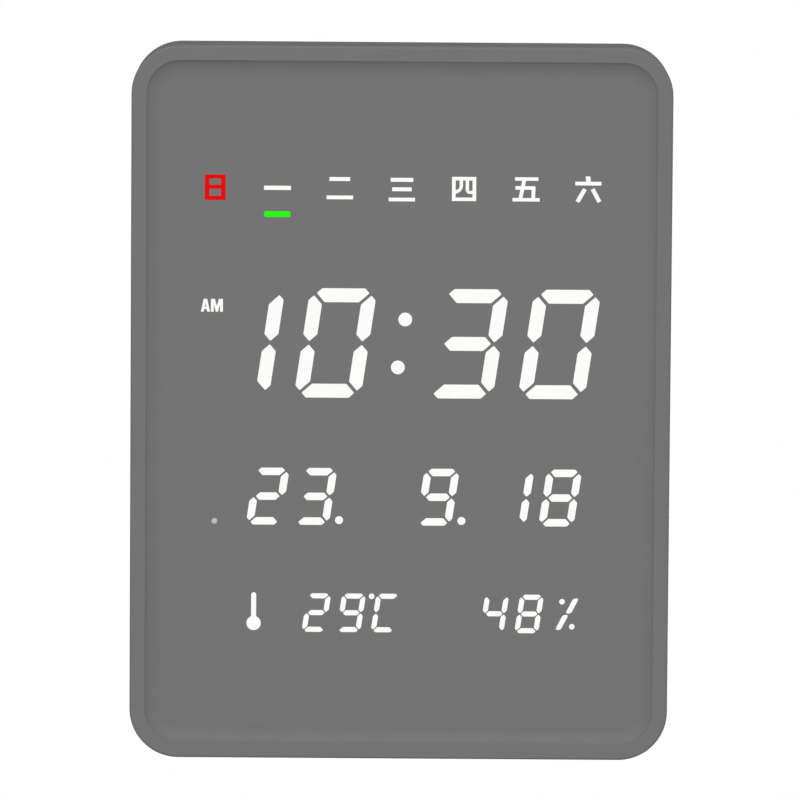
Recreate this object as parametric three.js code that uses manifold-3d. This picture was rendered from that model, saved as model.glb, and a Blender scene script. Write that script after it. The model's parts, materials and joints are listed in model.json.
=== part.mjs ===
// Digital wall clock with an LED face: case, face, display blocks, boards, rear buttons, battery bay, stand.
// Millimetres. The clock is drawn lying on its back: x runs right and y up across the face, and z runs from
// the wall plane at 0 towards the viewer. The last group turns it upright: z becomes -Y and y becomes +Z.
import * as THREE from "three";
import { mergeVertices } from "three/addons/utils/BufferGeometryUtils.js";
import Module from "manifold-3d";

const wasm = await Module();
wasm.setup();

// Clearance between neighbouring pieces, and how far two forms of one piece run into each other
const GAP = 0.3;
const BITE = 0.4;

// Case
const WIDTH = 220;
const HEIGHT = 292;
const DEPTH = 30;
const CORNER_RADIUS = 20;
const SHARPEST_CORNER = 0.5;
const WALL = 2.4;
const RIM_WIDTH = 6.3; // flat border round the face
const RIM_EDGE_RADIUS = 1.2;
const COVE_WIDTH = 6; // hollow sweep from the rim down to the face
const COVE_STEP = 0.8; // small upright drop at the rim's inner edge, where the sweep starts
const COVE_DEPTH = 2.5;
const FACE_MARGIN = 0.6; // flat foot of the cove, up to the face opening
const LIP = 1.2;
const BACK_PLATE = 2.2;
const BACK_EDGE_RADIUS = 2;
const SEAM_REVEAL = 0.5; // shadow line between the two halves of the case
const LAP = 2.5; // overlap of the two halves behind the shadow line

// Face panel and its tape
const PANEL_BASE = 1.6;
const TAPE = 0.5;
const TAPE_EDGE = 0.6;

// Case screws and their bosses
const BOSS_DIAMETER = 6.4;
const CASE_SCREW_FROM_END = 22;
const SCREW_HEAD_DIAMETER = 5.6;
const SCREW_HEAD = 2;
const SCREW_SHANK_DIAMETER = 2.6;
const SCREW_BITE = 8; // length of shank inside a boss
const SCREW_SEAT = 5; // depth of the counterbore in the back
const SCREW_TUBE_WALL = 1.5;
const SLOT_WIDTH = 0.9;
const SLOT_DEPTH = 1;

// Boards
const BOARD = 1.6;
const BOARD_SPACING = 3.4; // between the control board and the display board
const DISPLAY_BOARD_EDGE = 4;
const DISPLAY_BOARD_HEIGHT = 202;
const DISPLAY_SCREW_Y = 62;
const EAR_HEIGHT = 11;
const CONTROL_BOARD_WIDTH = 58;
const CONTROL_BOARD_HEIGHT = 153;
const CONTROL_BOARD_EDGE = 1;
const CONTROL_BOARD_CORNER_DROP = 13; // how much tighter its corners are rounded than the case's
const STANDOFF_DIAMETER = 6;
const STANDOFF_INSET = 4;
const BOARD_SCREW_HEAD_DIAMETER = 4.6;
const BOARD_SCREW_HEAD = 1.6;
const BOARD_SCREW_SHANK_DIAMETER = 2;
const BOARD_SCREW_BITE = 4;

// Display blocks
const SLANT = 0.147; // sideways lean of the digits for each millimetre of height
const BLOCK_BORDER = 1.5;
const SEGMENT_RISE = 1.6;
const TIME_DIGIT = { width: 27.3, height: 44.8, stroke: 5.7, gap: 1.35, chamfer: 4.9 };
const DATE_DIGIT = { width: 14.4, height: 23.4, stroke: 3.07, gap: 0.85, chamfer: 2.85 };
const CLIMATE_DIGIT = { width: 9.8, height: 15.9, stroke: 2.1, gap: 0.45, chamfer: 1.85 };
const TIME_X = 0.3;
const TIME_Y = 24.7;
const TIME_SPACE = 10.15; // between two digits of a pair
const COLON_SPACE = 26.5; // between the hours and the minutes
const COLON_DOT = 5.6;
const COLON_DOT_SPACING = 19.7;
const DATE_X = 5.83;
const DATE_Y = -38.28;
const DATE_SPACE = 5.1;
const DATE_GROUP_SPACE = 16.05;
const DATE_DOT = 3.25;
const DATE_DOT_SPACE = 3.9; // from a digit's edge to the middle of its dot
const DATE_DOT_RISE = 2.1;
const CLIMATE_Y = -86.1;
const CLIMATE_SPACE = 4.45;
const TEMPERATURE_X = -33.75;
const HUMIDITY_X = 39;
const UNIT_SPACE = 4.2;
const DEGREE_DOT = 2.3;
const DEGREE_DOT_SPACE = 1.8; // from the unit's edge out to the middle of the degree dot
const DEGREE_DOT_DROP = 1.3;
const PERCENT_SPACE = 5.5;
const PERCENT_DOT_X = 2.1;
const PERCENT_DOT_Y = 5.1;
const PERCENT_BAR = 2.1;
const PERCENT_BAR_RUN = 3.6;
const PERCENT_BAR_RISE = 6;
const PERCENT_BAR_GAP = 0.5;
const THERMOMETER_X = -59.4;
const THERMOMETER_BULB = 6.1;
const THERMOMETER_STEM = 2.3;
const THERMOMETER_HEIGHT = 15.7;
const WEEKDAYS = 7;
const WEEKDAY_Y = 87.9;
const WEEKDAY_PITCH = 25.3;
const WEEKDAY_PAD = 12;
const MARKER_DROP = 10.8; // from the middle of a weekday sign down to its marker bar
const MARKER_WIDTH = 10.5;
const MARKER_HEIGHT = 2.5;
const AM_PM_X = -77;
const AM_PM_Y = 35.8;
const AM_PM_SPACING = 8;
const AM_PM_WIDTH = 10.4;
const AM_PM_HEIGHT = 6.2;
const SENSOR_X = -75.6;
const SENSOR_Y = -48.65;
const SENSOR_PIPE = 2.2;
const SENSOR_BASE = 5;
const SENSOR_BASE_HEIGHT = 4;

// Rear buttons and the dome switches under them
const BUTTON_NAMES = ["set", "up", "down", "alarm"];
const BUTTON_DIAMETER = 9;
const BUTTON_PITCH = 22;
const BUTTON_COLUMN_RISE = 89.6; // from the control board's lower edge to the middle of the column
const BUTTON_EDGE = 14; // from the control board's side to the middle of the column
const BUTTON_PROUD = 1.1;
const BUTTON_TRAVEL = 0.8;
const BUTTON_FLANGE = 1;
const BUTTON_FLANGE_RIM = 1.5;
const BUTTON_CHAMFER = 0.5;
const BUTTON_POST = 3.2;
const BUTTON_RECESS = 1.6;
const BUTTON_RECESS_BORDER = 6;
const BUTTON_FLOOR = 1.8;
const SWITCH_SIDE = 6.2;
const SWITCH_HEIGHT = 3.1;
const SWITCH_BORE_DEPTH = 2;

// Power inlet
const JACK_WIDTH = 9;
const JACK_HEIGHT = 6.4;
const JACK_LENGTH = 12;
const JACK_SNOUT = 6;
const JACK_BORE = 3.6;
const JACK_BORE_DEPTH = 9;
const JACK_PIN = 1.3;
const JACK_SET_BACK = 0.4; // from the foot of the case to the snout
const JACK_PIN_SET_BACK = 0.8; // from the snout's mouth to the pin's tip
const JACK_EDGE = 16; // from the control board's side to the jack's axis
const SEAM_ABOVE_JACK = 2;

// Backup battery
const CELL_DIAMETER = 20;
const CELL_HEIGHT = 3.2;
const CELL_EDGE = 15; // from the control board's side to the cell's middle
const CELL_RISE = 72.6;
const CELL_BEVEL = 0.4;
const HOLDER_WALL = 1.8;
const HOLDER_FLOOR = 0.8;
const CLIP_WIDTH = 5;
const CLIP_SHEET = 0.5;
const CLIP_REACH = 8;
const DOOR_WIDTH = 25.4;
const DOOR_HEIGHT = 27;
const DOOR_THICKNESS = 1.7;
const DOOR_INSET = 0.2;
const DOOR_BARREL_RADIUS = 1.2;
const DOOR_TRUNNION = 1.4;
const DOOR_TRUNNION_REACH = 1.5;
const DOOR_FRAME = 2.4;
const DOOR_FRAME_HEIGHT = 1.6;
const THUMB_NOTCH = 10;
const THUMB_NOTCH_DEPTH = 1.2;

// Small parts on the control board, whose rise counts from the board's lower edge
const CHIP_WIDTH = 7.5;
const CHIP_LENGTH = 10.3;
const CHIP_HEIGHT = 1.8;
const CHIP_RISE = 36.6;
const CRYSTAL_DIAMETER = 3;
const CRYSTAL_LENGTH = 8;
const CRYSTAL_OFFSET = 13; // from the chip's middle to the crystal
const CAPACITOR_DIAMETER = 6.3;
const CAPACITOR_HEIGHT = 5.4;
const CAPACITOR_RISE = 20.6;
const BUZZER_DIAMETER = 12;
const BUZZER_HEIGHT = 5.2;
const BUZZER_MOUTH = 2;
const BUZZER_MOUTH_DEPTH = 1.5;
const BUZZER_RISE = 112.6;
const SOUND_HOLE = 2;
const SOUND_HOLES = 6;
const SOUND_HOLE_RADIUS = 3.6;
const CLIMATE_SENSOR_WIDTH = 10;
const CLIMATE_SENSOR_LENGTH = 12;
const CLIMATE_SENSOR_HEIGHT = 4;
const CLIMATE_SENSOR_EDGE = 34;
const CLIMATE_SENSOR_FROM_TOP = 8.4; // from the control board's upper edge to the sensor's middle
const VENT_LENGTH = 18;
const VENT_WIDTH = 2;
const VENT_PITCH = 3.6;
const VENTS = 4;
const HEADER_WIDTH = 6;
const HEADER_LENGTH = 14;
const HEADER_HEIGHT = 5;
const HEADER_FROM_TOP = 18.4;
const HEADER_DISTANCE = 20; // between the two headers that the ribbon joins
const RIBBON_WIDTH = 12;
const RIBBON_THICKNESS = 0.8;

// Stand
const LEG_WIDTH = 56;
const LEG_TIP_WIDTH = 46;
const LEG_THICKNESS = 4.6;
const LEG_INSET = 0.4;
const LEG_HINGE_RISE = 120; // from the foot of the case to the hinge line
const LEG_BARREL_RADIUS = 3;
const LEG_SIDE_GAP = 0.5;
const LEG_TIP_SET_BACK = 1;
const LEG_HOLLOW_BORDER = 6;
const LEG_HOLLOW_DEPTH = 2.4;
const PIN_DIAMETER = 3;
const FOOT_PAD_LENGTH = 4;
const FOOT_PAD_BORDER = 3;
const POCKET_WALL = 1.8;
const POCKET_FLOOR = 1.6;
const SCOOP_WIDTH = 9;
const SCOOP_HEIGHT = 22;
const SCOOP_RISE = 22; // from the foot of the case to the scoop's lower end

// Hanging keyholes and the bare label recess
const KEYHOLE_SPACING = 120;
const KEYHOLE_FROM_TOP = 36;
const KEYHOLE_HEAD = 9;
const KEYHOLE_SLOT = 4.4;
const KEYHOLE_RISE = 9;
const LABEL_WIDTH = 50;
const LABEL_HEIGHT = 60;
const LABEL_DEPTH = 0.4;
const LABEL_X = -67;
const LABEL_Y = 20;

// Facet counts
const CORNER_STEPS = 6;
const COVE_STEPS = 5;
const EDGE_STEPS = 3;
const SMALL_CORNER_STEPS = 3;
const ROUND_SIDES = 12;
const HOLE_SIDES = 8;
const BUTTON_SIDES = 14;
const SCREW_SIDES = 8;
const CELL_SIDES = 20;
const CABLE_STEPS = 8;

// Levels above the wall plane, from the back to the face
const buttonFloorInside = BUTTON_RECESS + BUTTON_FLOOR;
const buttonTop = BUTTON_RECESS - BUTTON_PROUD;
const flangeBack = buttonFloorInside + GAP;
const flangeFront = flangeBack + BUTTON_FLANGE;
const switchTop = flangeFront + BUTTON_TRAVEL + GAP;
const controlBack = switchTop + SWITCH_HEIGHT + GAP;
const controlFront = controlBack + BOARD;
const onControl = controlBack - GAP; // where parts stand on the control board
const displayBack = controlFront + BOARD_SPACING;
const displayFront = displayBack + BOARD;
const onDisplay = displayFront + GAP;
const jackAxis = onControl - JACK_HEIGHT / 2;
const seam = jackAxis + JACK_SNOUT / 2 + GAP + SEAM_ABOVE_JACK;
const coverTop = seam - SEAM_REVEAL;
const face = DEPTH - COVE_DEPTH;
const lipBack = face - LIP;
const tapeFront = lipBack - GAP;
const tapeBack = tapeFront - TAPE;
const panelBaseFront = tapeBack - GAP;
const panelBack = panelBaseFront - PANEL_BASE;
const segmentTip = face - GAP;
const blockFront = segmentTip - SEGMENT_RISE;

// Places across the case
const lapSkin = (WALL - GAP) / 2;
const openingInset = RIM_WIDTH + COVE_WIDTH + FACE_MARGIN;
const bossInset = WALL + GAP + BOSS_DIAMETER / 2;
const bossX = WIDTH / 2 - bossInset;
const panelInset = bossInset + BOSS_DIAMETER / 2 + GAP;
const tubeDiameter = SCREW_HEAD_DIAMETER + 2 * GAP + 2 * SCREW_TUBE_WALL;
const screwHole = SCREW_SHANK_DIAMETER + 2 * GAP;
const bottomInside = -HEIGHT / 2 + WALL;
const controlRight = bossX - tubeDiameter / 2 - CONTROL_BOARD_EDGE;
const controlLeft = controlRight - CONTROL_BOARD_WIDTH;
const controlBottom = bottomInside + CONTROL_BOARD_EDGE;
const controlTop = controlBottom + CONTROL_BOARD_HEIGHT;
const controlCorner = CORNER_RADIUS - CONTROL_BOARD_CORNER_DROP;
const buttonX = controlRight - BUTTON_EDGE;
const jackX = controlLeft + JACK_EDGE;
const cellX = controlLeft + CELL_EDGE;
const buttonColumnY = controlBottom + BUTTON_COLUMN_RISE;
const cellY = controlBottom + CELL_RISE;
const chipY = controlBottom + CHIP_RISE;
const buzzerY = controlBottom + BUZZER_RISE;
const climateSensorY = controlTop - CLIMATE_SENSOR_FROM_TOP;
const headerY = controlTop - HEADER_FROM_TOP;
const legHingeY = -HEIGHT / 2 + LEG_HINGE_RISE;
const keyholeY = HEIGHT / 2 - KEYHOLE_FROM_TOP;
const caseScrewY = HEIGHT / 2 - CASE_SCREW_FROM_END;
const caseScrewPlaces = [-1, 1].flatMap((side) => [1, 0, -1].map((row) => [side * bossX, row * caseScrewY]));
const displayScrewPlaces = [-1, 1].flatMap((side) =>
  [1, -1].map((row) => [side * bossX, row * DISPLAY_SCREW_Y]),
);
const boardScrewPlaces = [controlLeft + STANDOFF_INSET, controlRight - STANDOFF_INSET].flatMap((x) => [
  [x, controlTop - STANDOFF_INSET],
  [x, controlBottom + STANDOFF_INSET],
]);
const buttonPlaces = BUTTON_NAMES.map((name, place) => {
  const row = (BUTTON_NAMES.length - 1) / 2 - place;
  return { name, x: buttonX, y: buttonColumnY + row * BUTTON_PITCH };
});

// Solids: joining and cutting
function toSolid(geometry) {
  const bare = geometry.clone();
  bare.deleteAttribute("normal");
  bare.deleteAttribute("uv");
  const merged = mergeVertices(bare);
  const vertProperties = new Float32Array(merged.attributes.position.array);
  const triVerts = new Uint32Array(merged.index.array);
  return new wasm.Manifold(new wasm.Mesh({ numProp: 3, vertProperties, triVerts }));
}

function toGeometry(solid) {
  const mesh = solid.getMesh();
  const geometry = new THREE.BufferGeometry();
  geometry.setAttribute("position", new THREE.BufferAttribute(mesh.vertProperties, 3));
  geometry.setIndex(new THREE.BufferAttribute(mesh.triVerts, 1));
  return geometry;
}

function join(...geometries) {
  return toGeometry(geometries.map(toSolid).reduce((whole, piece) => whole.add(piece)));
}

function cut(geometry, ...tools) {
  return toGeometry(tools.map(toSolid).reduce((whole, tool) => whole.subtract(tool), toSolid(geometry)));
}

// Flat shapes across the face
function polygon(points) {
  return new THREE.Shape(points.map(([x, y]) => new THREE.Vector2(x, y)));
}

function rectangle(left, right, bottom, top) {
  return polygon([[left, bottom], [right, bottom], [right, top], [left, top]]);
}

function box(x, y, width, height) {
  return rectangle(x - width / 2, x + width / 2, y - height / 2, y + height / 2);
}

function arc(x, y, radius, from, to, steps) {
  return Array.from({ length: steps + 1 }, (_, step) => {
    const angle = from + ((to - from) * step) / steps;
    return [x + radius * Math.cos(angle), y + radius * Math.sin(angle)];
  });
}

function circle(x, y, diameter, sides = ROUND_SIDES) {
  return polygon(arc(x, y, diameter / 2, 0, 2 * Math.PI, sides).slice(1));
}

function roundedOutline(x, y, width, height, radius, steps) {
  const reachX = width / 2 - radius;
  const reachY = height / 2 - radius;
  const centres = [[reachX, reachY], [-reachX, reachY], [-reachX, -reachY], [reachX, -reachY]];
  return centres.flatMap(([cx, cy], corner) => {
    const from = (corner * Math.PI) / 2;
    return arc(x + cx, y + cy, radius, from, from + Math.PI / 2, steps);
  });
}

function roundedBox(x, y, width, height, radius) {
  return polygon(roundedOutline(x, y, width, height, radius, SMALL_CORNER_STEPS));
}

// A shape given depth between two levels, a round rod across the case, and a piece turned on its own axis
function prism(shape, from, to) {
  return new THREE.ExtrudeGeometry(shape, { depth: to - from, bevelEnabled: false }).translate(0, 0, from);
}

function crossRod(diameter, length, y, z, sides = ROUND_SIDES) {
  const rod = new THREE.CylinderGeometry(diameter / 2, diameter / 2, length, sides);
  return rod.rotateZ(Math.PI / 2).translate(0, y, z);
}

function turned(profile, sides) {
  const points = profile.map(([radius, z]) => new THREE.Vector2(radius, z));
  return new THREE.LatheGeometry(points, sides).rotateX(Math.PI / 2);
}

// The case's outline, drawn in from its outer edge by an inset
function caseOutline(inset) {
  const radius = Math.max(CORNER_RADIUS - inset, SHARPEST_CORNER);
  return roundedOutline(0, 0, WIDTH - 2 * inset, HEIGHT - 2 * inset, radius, CORNER_STEPS);
}

// Skin between neighbouring outlines of a section, whose points are an inset and a level
function loft(section, closed) {
  const positions = section.flatMap(([inset, z]) => caseOutline(inset).flatMap(([x, y]) => [x, y, z]));
  const around = caseOutline(0).length;
  const index = [];
  const last = closed ? section.length : section.length - 1;
  for (let ring = 0; ring < last; ring++) {
    const below = ring * around;
    const above = ((ring + 1) % section.length) * around;
    for (let here = 0; here < around; here++) {
      const next = (here + 1) % around;
      index.push(below + here, below + next, above + next, below + here, above + next, above + here);
    }
  }
  if (!closed) {
    const top = (section.length - 1) * around;
    for (let here = 1; here < around - 1; here++) {
      index.push(0, here + 1, here, top, top + here, top + here + 1);
    }
  }
  const geometry = new THREE.BufferGeometry();
  geometry.setAttribute("position", new THREE.Float32BufferAttribute(positions, 3));
  geometry.setIndex(index);
  return geometry;
}

function quarterTurn(steps) {
  return Array.from({ length: steps + 1 }, (_, step) => ((step / steps) * Math.PI) / 2);
}

// The seven strokes of a digit, by name
function strokes({ width, height, stroke, gap, chamfer }) {
  const a = width / 2;
  const b = height / 2;
  const corner = gap / Math.SQRT2;
  const spine = a - stroke / 2;
  const waist = (stroke + gap) / 2;
  const end = spine - gap * Math.SQRT2 + gap / 2;
  const mirrorX = (points) => points.map(([x, y]) => [-x, y]).reverse();
  const mirrorY = (points) => points.map(([x, y]) => [x, -y]).reverse();
  const topRight = [
    [a - stroke - corner, b - stroke],
    [a - (chamfer + corner) / 2, b - (chamfer - corner) / 2],
    [a - chamfer, b],
  ];
  const top = [...topRight, ...mirrorX(topRight)];
  const upperRight = [
    [spine, gap / 2],
    [a, waist],
    [a, b - chamfer],
    [a - (chamfer - corner) / 2, b - (chamfer + corner) / 2],
    [a - stroke, b - stroke - corner],
    [a - stroke, waist],
  ];
  const halfBar = [[end - stroke / 2, -stroke / 2], [end, 0], [end - stroke / 2, stroke / 2]];
  const lowerRight = mirrorY(upperRight);
  return {
    top,
    upperRight,
    lowerRight,
    bottom: mirrorY(top),
    lowerLeft: mirrorX(lowerRight),
    upperLeft: mirrorX(upperRight),
    middle: [...halfBar, ...mirrorX(halfBar)],
  };
}

const rightStrokes = ["upperRight", "lowerRight"];
const letterCStrokes = ["top", "bottom", "lowerLeft", "upperLeft"];

function lean([x, y]) {
  return [x + SLANT * y, y];
}

function leaningStrokes(digit, x, names) {
  const outlines = strokes(digit);
  const which = names ?? Object.keys(outlines);
  return which.map((stroke) => polygon(outlines[stroke].map(([px, py]) => lean([px + x, py]))));
}

function leaningDot(x, y, diameter) {
  return circle(...lean([x, y]), diameter);
}

// Display blocks: place on the face, outline about that place, and the shapes that light up
function digitBlock(name, x, y, digit, offsets, { right = 0, which, extra = [] } = {}) {
  const half = digit.width / 2 + BLOCK_BORDER;
  const top = digit.height / 2 + BLOCK_BORDER;
  const halfDigit = which === rightStrokes;
  const left = halfDigit ? half - digit.stroke - 2 * BLOCK_BORDER : Math.min(...offsets) - half;
  const edges = { left, right: Math.max(...offsets) + half + right, bottom: -top, top };
  const shapes = [...offsets.flatMap((offset) => leaningStrokes(digit, offset, which)), ...extra];
  return { name, x, y, slant: SLANT, ...edges, shapes };
}

function plainBlock(name, x, y, edges, shapes) {
  return { name, x, y, slant: 0, ...edges, shapes };
}

const timePitch = TIME_DIGIT.width + TIME_SPACE;
const hoursOnesX = TIME_X - (TIME_DIGIT.width + COLON_SPACE) / 2;
const minutesTensX = TIME_X + (TIME_DIGIT.width + COLON_SPACE) / 2;
const timeBlocks = [
  digitBlock("hours_tens_digit", hoursOnesX - timePitch, TIME_Y, TIME_DIGIT, [0], { which: rightStrokes }),
  digitBlock("hours_ones_digit", hoursOnesX, TIME_Y, TIME_DIGIT, [0]),
  digitBlock("minutes_tens_digit", minutesTensX, TIME_Y, TIME_DIGIT, [0]),
  digitBlock("minutes_ones_digit", minutesTensX + timePitch, TIME_Y, TIME_DIGIT, [0]),
];

const colonTop = (COLON_DOT_SPACING + COLON_DOT) / 2 + BLOCK_BORDER;
const colonHalf = COLON_DOT / 2 + BLOCK_BORDER;
const colonBlock = {
  ...plainBlock(
    "colon_lamp",
    TIME_X,
    TIME_Y,
    { left: -colonHalf, right: colonHalf, bottom: -colonTop, top: colonTop },
    [1, -1].map((side) => leaningDot(0, (side * COLON_DOT_SPACING) / 2, COLON_DOT)),
  ),
  slant: SLANT,
};

const dateHalfPitch = (DATE_DIGIT.width + DATE_SPACE) / 2;
const dateGroupPitch = 2 * DATE_DIGIT.width + DATE_SPACE + DATE_GROUP_SPACE;
const dateDotX = dateHalfPitch + DATE_DIGIT.width / 2 + DATE_DOT_SPACE;
const dateDotY = -DATE_DIGIT.height / 2 + DATE_DOT_RISE;
const datePair = [-dateHalfPitch, dateHalfPitch];
const dateBlocks = ["year_digits", "month_digits", "day_digits"].map((name, group) =>
  digitBlock(name, DATE_X + (group - 1) * dateGroupPitch, DATE_Y, DATE_DIGIT, datePair, {
    right: DATE_DOT_SPACE + DATE_DOT / 2,
    extra: [leaningDot(dateDotX, dateDotY, DATE_DOT)],
  }),
);

const climatePitch = CLIMATE_DIGIT.width + CLIMATE_SPACE;
const unitX = climatePitch + CLIMATE_DIGIT.width + UNIT_SPACE;
const degreeX = unitX - CLIMATE_DIGIT.width / 2 - DEGREE_DOT_SPACE;
const degreeY = CLIMATE_DIGIT.height / 2 - DEGREE_DOT_DROP;
const temperatureUnit = {
  right: CLIMATE_DIGIT.width + UNIT_SPACE,
  extra: [...leaningStrokes(CLIMATE_DIGIT, unitX, letterCStrokes), leaningDot(degreeX, degreeY, DEGREE_DOT)],
};
const climatePair = [0, climatePitch];
const climateBlock = (name, x, unit) => digitBlock(name, x, CLIMATE_Y, CLIMATE_DIGIT, climatePair, unit);
const temperatureBlock = climateBlock("temperature_digits", TEMPERATURE_X, temperatureUnit);

function percentSign(x) {
  const lineAngle = Math.atan2(PERCENT_BAR_RISE, PERCENT_BAR_RUN);
  const thickness = PERCENT_BAR / Math.sin(lineAngle) / 2;
  const bars = [1, -1].map((side) => {
    const near = (side * PERCENT_BAR_GAP) / 2;
    const far = near + side * PERCENT_BAR_RISE;
    const shift = PERCENT_BAR_RUN / PERCENT_BAR_RISE;
    const corners = [[near * shift - thickness, near], [near * shift + thickness, near]];
    corners.push([far * shift + thickness, far], [far * shift - thickness, far]);
    return polygon(corners.map(([px, py]) => [px + x, py]));
  });
  const dots = [1, -1].map((side) => circle(x - side * PERCENT_DOT_X, side * PERCENT_DOT_Y, DEGREE_DOT));
  return [...bars, ...dots];
}

const percentX = climatePitch + CLIMATE_DIGIT.width + PERCENT_SPACE;
const humidityUnit = { right: CLIMATE_DIGIT.width + PERCENT_SPACE, extra: percentSign(percentX) };
const humidityBlock = climateBlock("humidity_digits", HUMIDITY_X, humidityUnit);

function thermometer() {
  const bulb = THERMOMETER_BULB / 2;
  const stem = THERMOMETER_STEM / 2;
  const bulbY = -THERMOMETER_HEIGHT / 2 + bulb;
  const neck = Math.acos(stem / bulb);
  return polygon([
    ...arc(0, bulbY, bulb, Math.PI - neck, 2 * Math.PI + neck, ROUND_SIDES),
    ...arc(0, THERMOMETER_HEIGHT / 2 - stem, stem, 0, Math.PI, SMALL_CORNER_STEPS),
  ]);
}

const thermometerHalf = THERMOMETER_BULB / 2 + BLOCK_BORDER;
const thermometerTop = THERMOMETER_HEIGHT / 2 + BLOCK_BORDER;
const weekdayReach = ((WEEKDAYS - 1) / 2) * WEEKDAY_PITCH + WEEKDAY_PAD / 2 + BLOCK_BORDER;
const weekdayPlaces = Array.from(
  { length: WEEKDAYS },
  (_, day) => (day - (WEEKDAYS - 1) / 2) * WEEKDAY_PITCH,
);
const amPmHalf = AM_PM_WIDTH / 2 + BLOCK_BORDER;
const amPmTop = (AM_PM_SPACING + AM_PM_HEIGHT) / 2 + BLOCK_BORDER;
const blocks = [
  ...timeBlocks,
  colonBlock,
  ...dateBlocks,
  temperatureBlock,
  humidityBlock,
  plainBlock(
    "thermometer_lamp",
    THERMOMETER_X,
    CLIMATE_Y,
    { left: -thermometerHalf, right: thermometerHalf, bottom: -thermometerTop, top: thermometerTop },
    [thermometer()],
  ),
  plainBlock(
    "weekday_lamps",
    0,
    WEEKDAY_Y,
    {
      left: -weekdayReach,
      right: weekdayReach,
      bottom: -MARKER_DROP - MARKER_HEIGHT / 2 - BLOCK_BORDER,
      top: WEEKDAY_PAD / 2 + BLOCK_BORDER,
    },
    weekdayPlaces.flatMap((x) => [
      box(x, 0, WEEKDAY_PAD, WEEKDAY_PAD),
      box(x, -MARKER_DROP, MARKER_WIDTH, MARKER_HEIGHT),
    ]),
  ),
  plainBlock(
    "am_pm_lamp",
    AM_PM_X,
    AM_PM_Y,
    { left: -amPmHalf, right: amPmHalf, bottom: -amPmTop, top: amPmTop },
    [1, -1].map((side) => box(0, (side * AM_PM_SPACING) / 2, AM_PM_WIDTH, AM_PM_HEIGHT)),
  ),
];

function blockOutline({ left, right, bottom, top, slant }, grow) {
  const corners = [
    [left - grow, bottom - grow],
    [right + grow, bottom - grow],
    [right + grow, top + grow],
    [left - grow, top + grow],
  ];
  return polygon(corners.map(([x, y]) => [x + slant * y, y]));
}

function blockGeometry(block) {
  const body = prism(blockOutline(block, 0), onDisplay, blockFront);
  return join(body, ...block.shapes.map((shape) => prism(shape, blockFront - BITE, segmentTip)));
}

// Case
function frontBezel() {
  const edge = quarterTurn(EDGE_STEPS).map((angle) => [
    RIM_EDGE_RADIUS * (1 - Math.cos(angle)),
    DEPTH - RIM_EDGE_RADIUS * (1 - Math.sin(angle)),
  ]);
  const shares = Array.from({ length: COVE_STEPS + 1 }, (_, step) => step / COVE_STEPS);
  const cove = shares.map((share) => [
    RIM_WIDTH + COVE_WIDTH * share,
    face + (COVE_DEPTH - COVE_STEP) * (1 - share) ** 2,
  ]);
  const ring = loft(
    [
      [0, seam],
      ...edge,
      [RIM_WIDTH, DEPTH],
      ...cove,
      [openingInset, face],
      [openingInset, lipBack],
      [WALL, lipBack],
      [WALL, seam + LAP],
      [lapSkin, seam + LAP],
      [lapSkin, seam],
    ],
    true,
  );
  const boss = (places, end) =>
    places.map(([x, y]) => prism(circle(x, y, BOSS_DIAMETER), end, lipBack + BITE));
  const pilot = (places, end, depth) =>
    places.map(([x, y]) => prism(circle(x, y, screwHole, HOLE_SIDES), end - BITE, end + depth));
  const caseEnd = coverTop + GAP;
  return cut(
    join(ring, ...boss(caseScrewPlaces, caseEnd), ...boss(displayScrewPlaces, onDisplay)),
    ...pilot(caseScrewPlaces, caseEnd, SCREW_BITE + GAP),
    ...pilot(displayScrewPlaces, onDisplay, BOARD_SCREW_BITE + GAP),
  );
}

function facePanel() {
  const base = prism(polygon(caseOutline(panelInset)), panelBack, panelBaseFront);
  const plateau = prism(polygon(caseOutline(openingInset + GAP)), panelBaseFront - BITE, face);
  const windows = blocks.map((block) =>
    prism(blockOutline(block, GAP), panelBack - BITE, face + BITE).translate(block.x, block.y, 0),
  );
  const sensorHole = prism(circle(SENSOR_X, SENSOR_Y, SENSOR_PIPE + 2 * GAP), panelBack - BITE, face + BITE);
  return cut(join(base, plateau), ...windows, sensorHole);
}

function faceTape() {
  const outer = prism(polygon(caseOutline(panelInset + TAPE_EDGE)), tapeBack, tapeFront);
  return cut(outer, prism(polygon(caseOutline(openingInset - TAPE_EDGE)), tapeBack - BITE, tapeFront + BITE));
}

// Stand pocket in the rear cover, open at the foot of the case
const legAxis = LEG_INSET + LEG_BARREL_RADIUS;
const pocketHalf = LEG_WIDTH / 2 + LEG_SIDE_GAP;
const pocketTop = legHingeY + LEG_BARREL_RADIUS + LEG_SIDE_GAP;
const pocketDepth = legAxis + LEG_BARREL_RADIUS + LEG_SIDE_GAP;
const scoopLeft = -pocketHalf - SCOOP_WIDTH;
const scoopLow = -HEIGHT / 2 + SCOOP_RISE;
const scoopHigh = scoopLow + SCOOP_HEIGHT;
const pocketShapes = (grow) => [
  rectangle(-pocketHalf - grow, pocketHalf + grow, bottomInside - BITE, pocketTop + grow),
  rectangle(scoopLeft - grow, BITE - pocketHalf, scoopLow - grow, scoopHigh + grow),
];

// Battery door: its hinge line runs along the lower edge of the opening
const doorAxisY = cellY - DOOR_HEIGHT / 2 + DOOR_BARREL_RADIUS;
const doorAxis = DOOR_INSET + DOOR_BARREL_RADIUS;
const doorTop = cellY + DOOR_HEIGHT / 2;
const doorOpening = (grow) => {
  const border = 2 * (GAP + grow);
  return box(cellX, cellY, DOOR_WIDTH + border, DOOR_HEIGHT + border);
};

const recessWidth = BUTTON_DIAMETER + 2 * BUTTON_RECESS_BORDER;
const recessHeight = (BUTTON_NAMES.length - 1) * BUTTON_PITCH + recessWidth;
const buttonRecess = (grow) => {
  const radius = BUTTON_RECESS_BORDER + grow;
  return roundedBox(buttonX, buttonColumnY, recessWidth + 2 * grow, recessHeight + 2 * grow, radius);
};

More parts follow.
